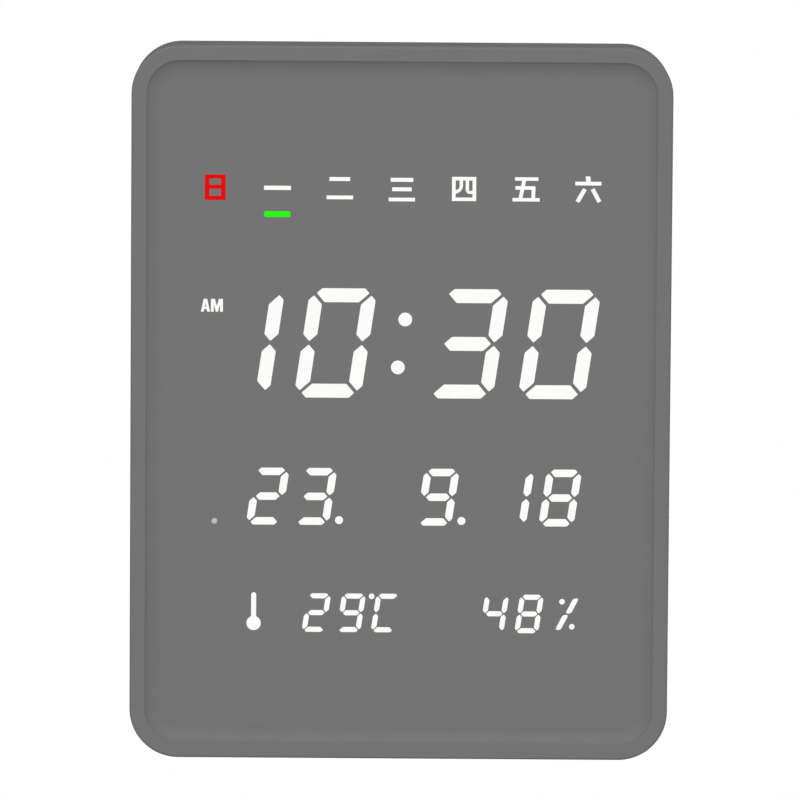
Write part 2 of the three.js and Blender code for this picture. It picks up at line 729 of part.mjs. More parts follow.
function rearCoverBody() {
  const backEdge = quarterTurn(EDGE_STEPS).map((angle) => [
    BACK_EDGE_RADIUS * (1 - Math.sin(angle)),
    BACK_EDGE_RADIUS * (1 - Math.cos(angle)),
  ]);
  const block = loft([...backEdge, [0, coverTop]], false);
  const hollow = prism(polygon(caseOutline(WALL)), BACK_PLATE, coverTop + BITE);
  const tongueBlank = prism(polygon(caseOutline(lapSkin + GAP)), coverTop - BITE, seam + LAP - GAP);
  const tongue = cut(tongueBlank, prism(polygon(caseOutline(WALL)), coverTop - 2 * BITE, seam + LAP));
  const footing = BACK_PLATE - BITE;
  return join(
    cut(block, hollow),
    tongue,
    ...caseScrewPlaces.map(([x, y]) => prism(circle(x, y, tubeDiameter), footing, coverTop)),
    ...boardScrewPlaces.map(([x, y]) => prism(circle(x, y, STANDOFF_DIAMETER), footing, onControl)),
    ...pocketShapes(POCKET_WALL).map((shape) => prism(shape, footing, pocketDepth + POCKET_FLOOR)),
    prism(buttonRecess(BUTTON_FLOOR), footing, buttonFloorInside),
    prism(doorOpening(DOOR_FRAME), footing, BACK_PLATE + DOOR_FRAME_HEIGHT),
  );
}

function throughBack(shape) {
  return prism(shape, -BITE, BACK_PLATE + BITE);
}

function rearCoverCuts() {
  const headHole = SCREW_HEAD_DIAMETER + 2 * GAP;
  const pilotHole = BOARD_SCREW_SHANK_DIAMETER + 2 * GAP;
  const capHole = BUTTON_DIAMETER + 2 * GAP;
  const doorSocket = crossRod(
    DOOR_TRUNNION + 2 * GAP,
    DOOR_WIDTH + 2 * DOOR_TRUNNION_REACH + 2 * GAP,
    doorAxisY,
    doorAxis,
  );
  const keyholeCuts = [-1, 1].flatMap((side) => {
    const x = (side * KEYHOLE_SPACING) / 2;
    const slotTop = keyholeY + KEYHOLE_RISE;
    const half = KEYHOLE_SLOT / 2;
    return [
      circle(x, keyholeY, KEYHOLE_HEAD),
      rectangle(x - half, x + half, keyholeY, slotTop),
      circle(x, slotTop, KEYHOLE_SLOT),
    ];
  });
  const ventX = controlLeft + CLIMATE_SENSOR_EDGE;
  const ventCuts = Array.from({ length: VENTS }, (_, slot) => {
    const y = climateSensorY + (slot - (VENTS - 1) / 2) * VENT_PITCH;
    return roundedBox(ventX, y, VENT_LENGTH, VENT_WIDTH, VENT_WIDTH / 2);
  });
  const soundCuts = Array.from({ length: SOUND_HOLES }, (_, hole) => {
    const angle = (hole / SOUND_HOLES) * 2 * Math.PI;
    const x = cellX + SOUND_HOLE_RADIUS * Math.cos(angle);
    return circle(x, buzzerY + SOUND_HOLE_RADIUS * Math.sin(angle), SOUND_HOLE, HOLE_SIDES);
  });
  const jackRadius = JACK_SNOUT / 2 + GAP;
  const jackHole = new THREE.CylinderGeometry(jackRadius, jackRadius, 2 * WALL, ROUND_SIDES);
  const wallMiddle = -HEIGHT / 2 + WALL / 2;
  const mouth = rectangle(-pocketHalf, pocketHalf, -HEIGHT / 2 - BITE, bottomInside);
  const through = [...keyholeCuts, ...ventCuts, ...soundCuts, circle(cellX, buzzerY, SOUND_HOLE, HOLE_SIDES)];
  const drill = ([x, y], diameter, from, to) => prism(circle(x, y, diameter, HOLE_SIDES), from, to);
  return [
    ...caseScrewPlaces.map(([x, y]) => prism(circle(x, y, headHole), -BITE, SCREW_SEAT)),
    ...caseScrewPlaces.map((place) => drill(place, screwHole, SCREW_SEAT - BITE, coverTop + BITE)),
    ...boardScrewPlaces.map((place) => drill(place, pilotHole, BACK_PLATE, onControl + BITE)),
    ...[...pocketShapes(0), mouth].map((shape) => prism(shape, -BITE, pocketDepth)),
    crossRod(PIN_DIAMETER + 2 * GAP, 2 * (pocketHalf + POCKET_WALL + BITE), legHingeY, legAxis),
    prism(buttonRecess(0), -BITE, BUTTON_RECESS),
    ...buttonPlaces.map(({ x, y }) => prism(circle(x, y, capHole), 0, buttonFloorInside + BITE)),
    prism(doorOpening(0), -BITE, BACK_PLATE + DOOR_FRAME_HEIGHT + BITE),
    doorSocket.translate(cellX, 0, 0),
    prism(circle(cellX, doorTop, THUMB_NOTCH), -BITE, THUMB_NOTCH_DEPTH),
    ...through.map(throughBack),
    jackHole.translate(jackX, wallMiddle, jackAxis),
    prism(box(LABEL_X, LABEL_Y, LABEL_WIDTH, LABEL_HEIGHT), -BITE, LABEL_DEPTH),
  ];
}

// Boards and what stands on them
function displayBoard() {
  const half = WIDTH / 2 - panelInset - DISPLAY_BOARD_EDGE;
  const plate = prism(box(0, 0, 2 * half, DISPLAY_BOARD_HEIGHT), displayBack, displayFront);
  const earEnd = WIDTH / 2 - WALL - GAP;
  const ears = [1, -1].map((row) =>
    prism(box(0, row * DISPLAY_SCREW_Y, 2 * earEnd, EAR_HEIGHT), displayBack, displayFront),
  );
  const hole = BOARD_SCREW_SHANK_DIAMETER + 2 * GAP;
  const holes = displayScrewPlaces.map(([x, y]) =>
    prism(circle(x, y, hole, HOLE_SIDES), displayBack - BITE, displayFront + BITE),
  );
  return cut(join(plate, ...ears), ...holes);
}

function controlBoard() {
  const middleX = (controlLeft + controlRight) / 2;
  const middleY = (controlBottom + controlTop) / 2;
  const plate = prism(
    roundedBox(middleX, middleY, CONTROL_BOARD_WIDTH, CONTROL_BOARD_HEIGHT, controlCorner),
    controlBack,
    controlFront,
  );
  const hole = BOARD_SCREW_SHANK_DIAMETER + 2 * GAP;
  const holes = boardScrewPlaces.map(([x, y]) =>
    prism(circle(x, y, hole, HOLE_SIDES), controlBack - BITE, controlFront + BITE),
  );
  return cut(plate, ...holes);
}

function jackBody() {
  const body = prism(box(0, JACK_LENGTH / 2, JACK_WIDTH, JACK_LENGTH), jackAxis - JACK_HEIGHT / 2, onControl);
  const along = (diameter, from, to) => {
    const rod = new THREE.CylinderGeometry(diameter / 2, diameter / 2, to - from, ROUND_SIDES);
    return rod.translate(0, (from + to) / 2, jackAxis);
  };
  const mouth = JACK_SET_BACK - WALL - GAP;
  const housing = join(body, along(JACK_SNOUT, mouth, BITE));
  const bored = cut(housing, along(JACK_BORE, mouth - BITE, JACK_BORE_DEPTH));
  return join(bored, along(JACK_PIN, mouth + JACK_PIN_SET_BACK, JACK_BORE_DEPTH + BITE));
}

function dome() {
  const housing = prism(box(0, 0, SWITCH_SIDE, SWITCH_SIDE), switchTop, onControl);
  const postHole = circle(0, 0, BUTTON_POST + 2 * GAP);
  return cut(housing, prism(postHole, switchTop - BITE, switchTop + SWITCH_BORE_DEPTH));
}

function buttonCap() {
  const radius = BUTTON_DIAMETER / 2;
  const flange = radius + BUTTON_FLANGE_RIM;
  const post = BUTTON_POST / 2;
  const tip = switchTop + SWITCH_BORE_DEPTH - GAP - BUTTON_TRAVEL;
  const profile = [
    [0, buttonTop],
    [radius - BUTTON_CHAMFER, buttonTop],
    [radius, buttonTop + BUTTON_CHAMFER],
    [radius, flangeBack],
    [flange, flangeBack],
    [flange, flangeFront],
    [post, flangeFront],
    [post, tip],
    [0, tip],
  ];
  return turned(profile, BUTTON_SIDES);
}

function screw(headDiameter, headHeight, shankDiameter, length, towardsFront) {
  const profile = [
    [0, -headHeight],
    [headDiameter / 2, -headHeight],
    [headDiameter / 2, 0],
    [shankDiameter / 2, 0],
    [shankDiameter / 2, length],
    [0, length],
  ];
  const slot = box(0, 0, SLOT_WIDTH, headDiameter + 2 * BITE);
  const whole = cut(turned(profile, SCREW_SIDES), prism(slot, -headHeight - BITE, SLOT_DEPTH - headHeight));
  return towardsFront ? whole : whole.rotateX(Math.PI);
}

const holderInside = CELL_DIAMETER / 2 + GAP;
const holderOutside = holderInside + HOLDER_WALL;
const holderFloor = onControl - HOLDER_FLOOR;
const cellFront = holderFloor - GAP;
const cellBack = cellFront - CELL_HEIGHT;
const holderRim = cellBack - GAP;

function batteryHolder() {
  const profile = [
    [0, holderFloor],
    [holderInside, holderFloor],
    [holderInside, holderRim],
    [holderOutside, holderRim],
    [holderOutside, onControl],
    [0, onControl],
  ];
  return turned(profile, CELL_SIDES);
}

function coinCell() {
  const radius = CELL_DIAMETER / 2;
  const profile = [
    [0, cellBack],
    [radius - CELL_BEVEL, cellBack],
    [radius, cellBack + CELL_BEVEL],
    [radius, cellFront],
    [0, cellFront],
  ];
  return turned(profile, CELL_SIDES);
}

// The clip rises beside the holder and reaches over the cell's rim
function batteryClip() {
  const clipBack = holderRim - GAP - CLIP_SHEET;
  const foot = holderOutside + GAP;
  const half = CLIP_WIDTH / 2;
  const upright = prism(rectangle(-half, half, foot, foot + CLIP_SHEET), clipBack, onControl);
  const reach = prism(
    rectangle(-half, half, foot - CLIP_REACH, foot + CLIP_SHEET),
    clipBack,
    clipBack + CLIP_SHEET,
  );
  return join(upright, reach);
}

function batteryDoor() {
  const half = DOOR_WIDTH / 2;
  const plate = prism(rectangle(-half, half, doorAxisY, doorTop), DOOR_INSET, DOOR_INSET + DOOR_THICKNESS);
  const barrel = crossRod(2 * DOOR_BARREL_RADIUS, DOOR_WIDTH, doorAxisY, doorAxis);
  const trunnions = crossRod(DOOR_TRUNNION, DOOR_WIDTH + 2 * DOOR_TRUNNION_REACH, doorAxisY, doorAxis);
  return join(plate, barrel, trunnions);
}

function buzzer() {
  const radius = BUZZER_DIAMETER / 2;
  const back = onControl - BUZZER_HEIGHT;
  const mouth = BUZZER_MOUTH / 2;
  const profile = [
    [0, back + BUZZER_MOUTH_DEPTH],
    [mouth, back + BUZZER_MOUTH_DEPTH],
    [mouth, back],
    [radius, back],
    [radius, onControl],
    [0, onControl],
  ];
  return turned(profile, ROUND_SIDES);
}

// The ribbon leaves one header level with the wall, rises to the display board and enters the other header
const controlHeaderX = controlLeft + HEADER_WIDTH / 2;
const displayHeaderX = controlHeaderX - HEADER_DISTANCE;
const onDisplayBack = displayBack - GAP;

function ribbonCable() {
  const start = new THREE.Vector2(controlHeaderX - HEADER_WIDTH / 2 - GAP, onControl - HEADER_HEIGHT / 2);
  const end = new THREE.Vector2(displayHeaderX + HEADER_WIDTH / 2 + GAP, onDisplayBack - HEADER_HEIGHT / 2);
  const middleX = (start.x + end.x) / 2;
  const handles = [new THREE.Vector2(middleX, start.y), new THREE.Vector2(middleX, end.y)];
  const route = new THREE.CubicBezierCurve(start, ...handles, end);
  const side = (offset) =>
    Array.from({ length: CABLE_STEPS + 1 }, (_, step) => {
      const tangent = route.getTangent(step / CABLE_STEPS);
      const normal = new THREE.Vector2(-tangent.y, tangent.x).multiplyScalar(offset);
      return route.getPoint(step / CABLE_STEPS).add(normal);
    });
  const half = RIBBON_THICKNESS / 2;
  const band = new THREE.Shape([...side(half), ...side(-half).reverse()]);
  return prism(band, -RIBBON_WIDTH / 2, RIBBON_WIDTH / 2).rotateX(Math.PI / 2).translate(0, headerY, 0);
}

function lightSensor() {
  const profile = [
    [0, onDisplay],
    [SENSOR_BASE / 2, onDisplay],
    [SENSOR_BASE / 2, onDisplay + SENSOR_BASE_HEIGHT],
    [SENSOR_PIPE / 2, onDisplay + SENSOR_BASE_HEIGHT],
    [SENSOR_PIPE / 2, segmentTip],
    [0, segmentTip],
  ];
  return turned(profile, ROUND_SIDES);
}

// Stand leg: a tapered plate below a barrel that turns on the pin, hollowed on the side that faces the pocket
const legTip = -HEIGHT / 2 + LEG_TIP_SET_BACK;
const legEnd = legTip + FOOT_PAD_LENGTH + GAP;
const legFront = LEG_INSET + LEG_THICKNESS;

function standLeg() {
  const outline = (border, top) =>
    polygon([
      [-LEG_TIP_WIDTH / 2 + border, legEnd + border],
      [LEG_TIP_WIDTH / 2 - border, legEnd + border],
      [LEG_WIDTH / 2 - border, top],
      [-LEG_WIDTH / 2 + border, top],
    ]);
  const plate = prism(outline(0, legHingeY), LEG_INSET, legFront);
  const barrel = crossRod(2 * LEG_BARREL_RADIUS, LEG_WIDTH, legHingeY, legAxis);
  const hollowTop = legHingeY - LEG_BARREL_RADIUS - LEG_HOLLOW_BORDER;
  const hollow = prism(outline(LEG_HOLLOW_BORDER, hollowTop), legFront - LEG_HOLLOW_DEPTH, legFront + BITE);
  const bore = crossRod(PIN_DIAMETER + 2 * GAP, LEG_WIDTH + 2 * BITE, legHingeY, legAxis);
  return cut(join(plate, barrel), hollow, bore);
}

function footPad() {
  const half = LEG_TIP_WIDTH / 2 - FOOT_PAD_BORDER;
  return prism(rectangle(-half, half, legTip, legTip + FOOT_PAD_LENGTH), LEG_INSET, legFront);
}

// Finishes
function finish(color, roughness, metalness = 0) {
  return new THREE.MeshStandardMaterial({ color, roughness, metalness });
}

const casePlastic = finish(0x747374, 0.6);
const buttonPlastic = finish(0x5c5c5e, 0.6);
const lampPlastic = finish(0xe9e8e4, 0.5);
const tapeFoam = finish(0x2a2a2c, 0.9);
const boardResin = finish(0x1f5b3a, 0.5);
const blackPlastic = finish(0x1c1c1e, 0.5);
const whitePlastic = finish(0xe2e0da, 0.5);
const padRubber = finish(0x242424, 0.85);
const steel = finish(0xb4b6b8, 0.35, 1);
const clearPlastic = finish(0xbdbdbd, 0.25);

const clock = new THREE.Group();
clock.name = "digital_wall_clock";

function add(name, geometry, material, x = 0, y = 0, z = 0) {
  const mesh = new THREE.Mesh(geometry, material);
  mesh.name = name;
  mesh.position.set(x, y, z);
  clock.add(mesh);
}

function upright(width, length, height, seat) {
  return prism(box(0, 0, width, length), seat - height, seat);
}

// Case and face
add("front_bezel", frontBezel(), casePlastic);
add("face_panel", facePanel(), casePlastic);
add("face_tape", faceTape(), tapeFoam);
add("rear_cover", cut(rearCoverBody(), ...rearCoverCuts()), casePlastic);

// Display
blocks.forEach((block) => add(block.name, blockGeometry(block), lampPlastic, block.x, block.y));
add("display_board", displayBoard(), boardResin);
add("light_sensor", lightSensor(), clearPlastic, SENSOR_X, SENSOR_Y);

// Control board
const capacitorProfile = [
  [0, onControl - CAPACITOR_HEIGHT],
  [CAPACITOR_DIAMETER / 2, onControl - CAPACITOR_HEIGHT],
  [CAPACITOR_DIAMETER / 2, onControl],
  [0, onControl],
];
const crystalRadius = CRYSTAL_DIAMETER / 2;
const crystal = new THREE.CylinderGeometry(crystalRadius, crystalRadius, CRYSTAL_LENGTH, ROUND_SIDES);
const header = (seat) => upright(HEADER_WIDTH, HEADER_LENGTH, HEADER_HEIGHT, seat);
add("control_board", controlBoard(), boardResin);
add("clock_chip", upright(CHIP_WIDTH, CHIP_LENGTH, CHIP_HEIGHT, onControl), blackPlastic, cellX, chipY);
add("crystal_can", crystal, steel, cellX + CRYSTAL_OFFSET, chipY, onControl - crystalRadius);
add("capacitor", turned(capacitorProfile, ROUND_SIDES), steel, buttonX, controlBottom + CAPACITOR_RISE);
add("buzzer", buzzer(), blackPlastic, cellX, buzzerY);
add(
  "climate_sensor",
  upright(CLIMATE_SENSOR_WIDTH, CLIMATE_SENSOR_LENGTH, CLIMATE_SENSOR_HEIGHT, onControl),
  whitePlastic,
  controlLeft + CLIMATE_SENSOR_EDGE,
  climateSensorY,
);
add("dc_jack", jackBody(), blackPlastic, jackX, bottomInside + GAP);
add("control_header", header(onControl), whitePlastic, controlHeaderX, headerY);
add("display_header", header(onDisplayBack), whitePlastic, displayHeaderX, headerY);
add("ribbon_cable", ribbonCable(), tapeFoam);

// Buttons and their switches
buttonPlaces.forEach(({ name, x, y }) => {
  add(`${name}_button`, buttonCap(), buttonPlastic, x, y);
  add(`${name}_switch`, dome(), blackPlastic, x, y);
});

// Backup battery
add("battery_holder", batteryHolder(), blackPlastic, cellX, cellY);
add("coin_cell", coinCell(), steel, cellX, cellY);
add("battery_clip", batteryClip(), steel, cellX, cellY);
add("battery_door", batteryDoor(), casePlastic, cellX);

// Stand
add("stand_leg", standLeg(), casePlastic);
add("stand_pin", crossRod(PIN_DIAMETER, 2 * (pocketHalf + POCKET_WALL), legHingeY, legAxis), steel);
add("stand_foot_pad", footPad(), padRubber);

// Screws
const caseShank = coverTop + GAP + SCREW_BITE - SCREW_SEAT + GAP;
const boardShank = BOARD + 2 * GAP + BOARD_SCREW_BITE;
const boardScrew = (towardsFront) =>
  screw(BOARD_SCREW_HEAD_DIAMETER, BOARD_SCREW_HEAD, BOARD_SCREW_SHANK_DIAMETER, boardShank, towardsFront);
caseScrewPlaces.forEach(([x, y], place) => {
  const geometry = screw(SCREW_HEAD_DIAMETER, SCREW_HEAD, SCREW_SHANK_DIAMETER, caseShank, true);
  add(`case_screw_${place + 1}`, geometry, steel, x, y, SCREW_SEAT - GAP);
});
displayScrewPlaces.forEach(([x, y], place) => {
  add(`display_screw_${place + 1}`, boardScrew(true), steel, x, y, displayBack - GAP);
});
boardScrewPlaces.forEach(([x, y], place) => {
  add(`board_screw_${place + 1}`, boardScrew(false), steel, x, y, controlFront + GAP);
});

clock.rotation.x = Math.PI / 2;

export default clock;
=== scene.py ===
"""Looks of a digital wall clock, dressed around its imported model.

Shapes are drawn in millimetres across the clock: x runs right, y up and z from the wall plane towards the
viewer. Each finished mesh is then stood upright in the frame, in metres.
"""
import json
import math
from collections import namedtuple

import bpy
from mathutils import Matrix, Quaternion, Vector

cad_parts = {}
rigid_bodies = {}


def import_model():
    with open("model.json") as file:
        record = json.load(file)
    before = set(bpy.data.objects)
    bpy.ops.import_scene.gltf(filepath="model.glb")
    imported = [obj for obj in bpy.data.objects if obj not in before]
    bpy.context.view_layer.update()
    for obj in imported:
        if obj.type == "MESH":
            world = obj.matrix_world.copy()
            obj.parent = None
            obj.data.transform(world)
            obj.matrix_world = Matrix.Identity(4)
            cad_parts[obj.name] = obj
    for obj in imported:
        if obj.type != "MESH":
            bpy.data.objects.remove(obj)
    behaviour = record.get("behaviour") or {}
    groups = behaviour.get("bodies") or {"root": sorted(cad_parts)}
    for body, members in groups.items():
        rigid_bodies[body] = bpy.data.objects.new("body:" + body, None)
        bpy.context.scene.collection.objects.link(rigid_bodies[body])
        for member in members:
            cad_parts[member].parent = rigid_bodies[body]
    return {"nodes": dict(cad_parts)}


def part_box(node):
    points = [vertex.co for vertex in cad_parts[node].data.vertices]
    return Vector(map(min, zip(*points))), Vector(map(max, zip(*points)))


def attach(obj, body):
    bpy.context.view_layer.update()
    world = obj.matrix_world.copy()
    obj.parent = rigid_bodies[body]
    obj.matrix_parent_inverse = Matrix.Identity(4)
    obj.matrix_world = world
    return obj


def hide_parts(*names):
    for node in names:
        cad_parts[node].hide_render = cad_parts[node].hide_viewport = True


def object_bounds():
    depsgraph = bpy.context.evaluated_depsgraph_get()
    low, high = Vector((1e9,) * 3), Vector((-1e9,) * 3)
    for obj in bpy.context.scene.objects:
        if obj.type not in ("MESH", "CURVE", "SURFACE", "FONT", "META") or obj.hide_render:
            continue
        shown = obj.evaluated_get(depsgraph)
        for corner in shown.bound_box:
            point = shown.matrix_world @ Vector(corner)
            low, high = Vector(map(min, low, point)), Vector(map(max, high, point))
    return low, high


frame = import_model()
cad_low, cad_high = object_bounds()
scene = bpy.context.scene

MM = 0.001
STAND_UP = Matrix.Rotation(math.pi / 2, 4, "X") @ Matrix.Scale(MM, 4)

# Clearance between neighbouring pieces, and how far joined forms or cutters run past a face
GAP = 0.3
BITE = 0.4

# Case
CORNER_RADIUS = 20
WALL = 2.4
RIM_WIDTH = 6.3
RIM_EDGE_RADIUS = 1.2
RIM_INNER_RADIUS = 0.3
COVE_WIDTH = 6
COVE_STEP = 0.8  # drop at the rim's inner edge, where the cove starts
STEP_DRAFT = 0.6  # how far that drop leans inwards
COVE_DEPTH = 2.5
FACE_MARGIN = 0.6  # flat foot of the cove, up to the face opening
LIP = 1.2
BACK_PLATE = 2.2
BACK_EDGE_RADIUS = 2
SEAM_REVEAL = 0.5  # shadow line between the two halves
SEAM_EDGE_RADIUS = 0.3
LAP = 2.5  # overlap of the halves behind the shadow line
BOSS_DIAMETER = 6.4

# Face film and the lit signs on it
FILM = 0.08
FILM_EDGE = 0.01
FILM_TAPER = 2.2
SIGN_RISE = 0.05
SLANT = 0.147  # sideways lean of the digits for each millimetre of height
Digit = namedtuple("Digit", "width height stroke gap chamfer easing")
TIME_DIGIT = Digit(27.3, 44.8, 5.7, 1.35, 4.9, 0.45)
DATE_DIGIT = Digit(14.4, 23.4, 3.07, 0.85, 2.85, 0.4)
CLIMATE_DIGIT = Digit(9.8, 15.9, 2.1, 0.45, 1.85, 0.4)
LIT_STROKES = {
    "0": "abcdef", "1": "bc", "2": "abdeg", "3": "abcdg",
    "4": "bcfg", "8": "abcdefg", "9": "abcdfg", "C": "adef",
}
COLON_DOT = 5.6
COLON_SPACING = 19.62
DATE_PITCH = 19.5
DATE_DOT = 3.25
DATE_DOT_SPACE = 3.9
DATE_DOT_RISE = 2
CLIMATE_PITCH = 14.25
UNIT_PITCH = 14
UNIT_DOT = 2.27
DEGREE_PLACE = (22.55, 6.85)  # this and the next from the middle of the block's first digit
PERCENT_X = 29.7
PERCENT_DOT_PLACE = (-2.05, 5.15)
PERCENT_BAR_PLACE = (2.1, 3.4)
PERCENT_BAR_HEIGHT = 6.25
PERCENT_BAR_RUN = 3.2
PERCENT_BAR_WIDTH = 2.3
THERMOMETER_BULB = 5.85
THERMOMETER_STEM = 2.05
THERMOMETER_HEIGHT = 15.6
THERMOMETER_RISE = 0.4
WEEKDAY_PITCH = 25.3
WEEKDAY_TOP = 7.5
MARKER_DROP = 10.72
MARKER_WIDTH = 10.7
MARKER_HEIGHT = 2.35
AM_RISE = 4
AM_WIDTH = 9
AM_HEIGHT = 5.27
LENS_DIAMETER = 2.45
LENS_RISE = 0.45
LENS_RIM = 0.2

# Rear side: round mouths of holes, run of open cuts past the case, and the least round or offset
HOLE_MOUTH = 0.3
RUN_OUT = 2
SHARP = 0.05

# Screws
SCREW_COUNTS = {"case": 6, "display": 4, "board": 4}
SCREW_SEAT = 5
SCREW_HEAD_DIAMETER = 5.6
SCREW_HEAD = 2
SCREW_SHANK_DIAMETER = 2.6
SCREW_DOME = 0.6
SCREW_TURN = math.radians(37)  # how far each screw stands turned from the one before
CROSS_LENGTH = 3.2
CROSS_WIDTH = 0.75
CROSS_DEPTH = 1.2
CROSS_TAPER = 0.12
CROSS_CORNER = 0.18
SCREW_TUBE = 9.2
SCREW_HOLE = 3.2
BOARD_SCREW_HOLE = 2.6
STANDOFF_DIAMETER = 6

# Rear buttons and their marks
BUTTON_NAMES = ("set", "up", "down", "alarm")
BUTTON_DIAMETER = 9
BUTTON_EDGE_RADIUS = 0.7
BUTTON_DISH_DIAMETER = 7
BUTTON_DISH = 0.3
BUTTON_RECESS = 1.6
BUTTON_RECESS_BORDER = 6
RECESS_EDGE = 0.5
BUTTON_FLOOR = 1.8
BUTTON_FLANGE = 1
BUTTON_POST = 3.2
MARK_RISE = 0.1
RING_DIAMETER = 4.6
RING_HOLE = 3.3
RING_DOT = 1.6
ARROW = [(-2.3, -1.4), (2.3, -1.4), (0, 2)]
ARROW_EASING = 0.5
BELL_RADIUS = 1.6
BELL_RISE = 0.5
BELL_SIDE = [(2.4, -1.5), (2.4, -1.1), (1.6, -0.5)]
CLAPPER = 0.9
CLAPPER_DROP = 2.25

# Grip grooves of the lid and the leg
GRIP_LINES = 4
GRIP_PITCH = 2
GRIP_RADIUS = 1
GRIP_DEPTH = 0.4

# Battery bay and its lid
DOOR_WIDTH = 25.4
DOOR_THICKNESS = 1.7
DOOR_OPENING_CORNER = 0.6
DOOR_BARREL_RADIUS = 1.2
DOOR_TRUNNION = 1.4
DOOR_FRAME = 2.4
DOOR_FRAME_HEIGHT = 1.6
LID_CORNER = 1
LID_EDGE = 0.25
LID_RIB = 1
LID_RIB_BORDER = 3
LID_RIB_RISE = 0.6
LID_GRIP_WIDTH = 12
LID_GRIP_DROP = 4
THUMB_NOTCH = 10
THUMB_NOTCH_DEPTH = 1.2
THUMB_NOTCH_FLOOR = 0.7
CELL_BEVEL = 0.3
CELL_MARK = 4
CELL_MARK_STROKE = 0.8
CELL_MARK_DEPTH = 0.12
HOLDER_EDGE = 0.4
CLIP_SHEET = 0.5
CLIP_CORNER = 1.5
CLIP_EDGE = 0.1

# Vents, sound holes, keyholes and the bare label recess
VENT_LENGTH = 18
VENT_WIDTH = 2
VENT_CORNER = 0.95
VENT_PITCH = 3.6
VENTS = 4
SOUND_HOLE = 2
SOUND_HOLES = 6
SOUND_HOLE_RADIUS = 3.6
KEYHOLE_X = 60
KEYHOLE_Y = 110
KEYHOLE_HEAD = 9
KEYHOLE_SLOT = 4.4
KEYHOLE_RISE = 9
LABEL_PLACE = (-67, 20)
LABEL_SIZE = (50, 60)
LABEL_DEPTH = 0.4
LABEL_CORNER = 2
LABEL_EDGE = 0.15

# Stand
LEG_SIDE_GAP = 0.5
LEG_THICKNESS = 4.6
LEG_TIP_WIDTH = 46
LEG_CORNER = 2.6
LEG_EDGE = 0.6
LEG_BARREL_RADIUS = 3
LEG_HOLLOW_BORDER = 6
LEG_HOLLOW_DEPTH = 2.4
LEG_RIB = 1.2
LEG_RIB_DROP = 0.5
LEG_RIBS = 3
LEG_FIELD_BORDER = 5
LEG_FIELD_DEPTH = 0.3
LEG_GRIP_WIDTH = 24
LEG_GRIP_RISE = 12
FOOT_EDGE = 0.4
FOOT_TREAD = 1.4
FOOT_TREADS = 11
POCKET_WALL = 1.8
POCKET_FLOOR = 1.6
POCKET_CORNER = 1
POCKET_MOUTH = 0.5
PIN_HOLE = 3.6
SCOOP_WIDTH = 9
SCOOP_HEIGHT = 22
SCOOP_RISE = 22
SCOOP_MOUTH = 1.2

# Power inlet
JACK_SNOUT = 6
JACK_EDGE = 0.3
JACK_CORNER = 0.45
JACK_BORE = 3.6
JACK_BORE_DEPTH = 9
JACK_PIN = 1.3
JACK_PIN_SET_BACK = 0.8
INLET_FLARE = 0.8

# Steps of the round forms, the most of a side that an eased corner takes, and sharp edges' least angles
CORNER_STEPS = 20
COVE_STEPS = 16
EDGE_STEPS = 6
FILLET_STEPS = 4
ROUND_SIDES = 48
EASING_LIMIT = 0.45
SMOOTH_ANGLE = 40
CRISP_ANGLE = 30

# Places and levels that the frame gives, in millimetres
Span = namedtuple("Span", "left right low high back front x y width height")


def span(node):
    low, high = (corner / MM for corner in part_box(node))
    middle, size = (low + high) / 2, high - low
    return Span(low.x, high.x, low.z, high.z, -high.y, -low.y, middle.x, middle.z, size.x, size.z)


def screw_names(kind):
    return [f"{kind}_screw_{number}" for number in range(1, SCREW_COUNTS[kind] + 1)]


bezel = span("front_bezel")
cover = span("rear_cover")
panel = span("face_panel")
leg = span("stand_leg")
door = span("battery_door")
cell = span("coin_cell")
jack = span("dc_jack")
buttons = {name: span(f"{name}_button") for name in BUTTON_NAMES}
case_screws = [span(name) for name in screw_names("case")]
display_screws = [span(name) for name in screw_names("display")]
board_screws = [span(name) for name in screw_names("board")]

face = panel.front
film_front = face + FILM
sign_levels = film_front - SIGN_RISE / 2, film_front + SIGN_RISE
lip_back = face - LIP
seam = cover.front + GAP - LAP
cover_top = seam - SEAM_REVEAL
lap_skin = (WALL - GAP) / 2
opening_inset = RIM_WIDTH + COVE_WIDTH + FACE_MARGIN
leg_axis_y = leg.high - LEG_BARREL_RADIUS
leg_axis_z = leg.front - LEG_BARREL_RADIUS
leg_front = leg.back + LEG_THICKNESS
hollow_top = leg_axis_y - LEG_BARREL_RADIUS - LEG_HOLLOW_BORDER
hollow_floor = leg_front - LEG_HOLLOW_DEPTH
door_axis_y = door.low + DOOR_BARREL_RADIUS
door_axis_z = door.front - DOOR_BARREL_RADIUS


# Flat outlines, anticlockwise as seen from the front
def quarter(steps):
    return [step / steps * math.pi / 2 for step in range(steps + 1)]


def arc(x, y, radius, start, end, steps):
    angles = [start + (end - start) * step / steps for step in range(steps + 1)]
    return [(x + radius * math.cos(angle), y + radius * math.sin(angle)) for angle in angles]


def circle(x, y, diameter, sides=ROUND_SIDES):
    return arc(x, y, diameter / 2, 0, 2 * math.pi, sides)[1:]


def rounded_box(x, y, width, height, radius, steps=FILLET_STEPS):
    reach_x, reach_y = width / 2 - radius, height / 2 - radius
    corners = [(1, 1), (-1, 1), (-1, -1), (1, -1)]
    points = []
    for turn, (side_x, side_y) in enumerate(corners):
        start = turn * math.pi / 2
        points += arc(x + side_x * reach_x, y + side_y * reach_y, radius, start, start + math.pi / 2, steps)
    return points


def bar(left, right, low, high):
    return [(left, low), (right, low), (right, high), (left, high)]


def moved(outline, x, y):
    return [(x + px, y + py) for px, py in outline]


def mirrored(outline):
    """The outline turned left to right, still anticlockwise."""
    return [(-x, y) for x, y in reversed(outline)]


def flipped(outline):
    """The outline turned upside down, still anticlockwise."""
    return [(x, -y) for x, y in reversed(outline)]


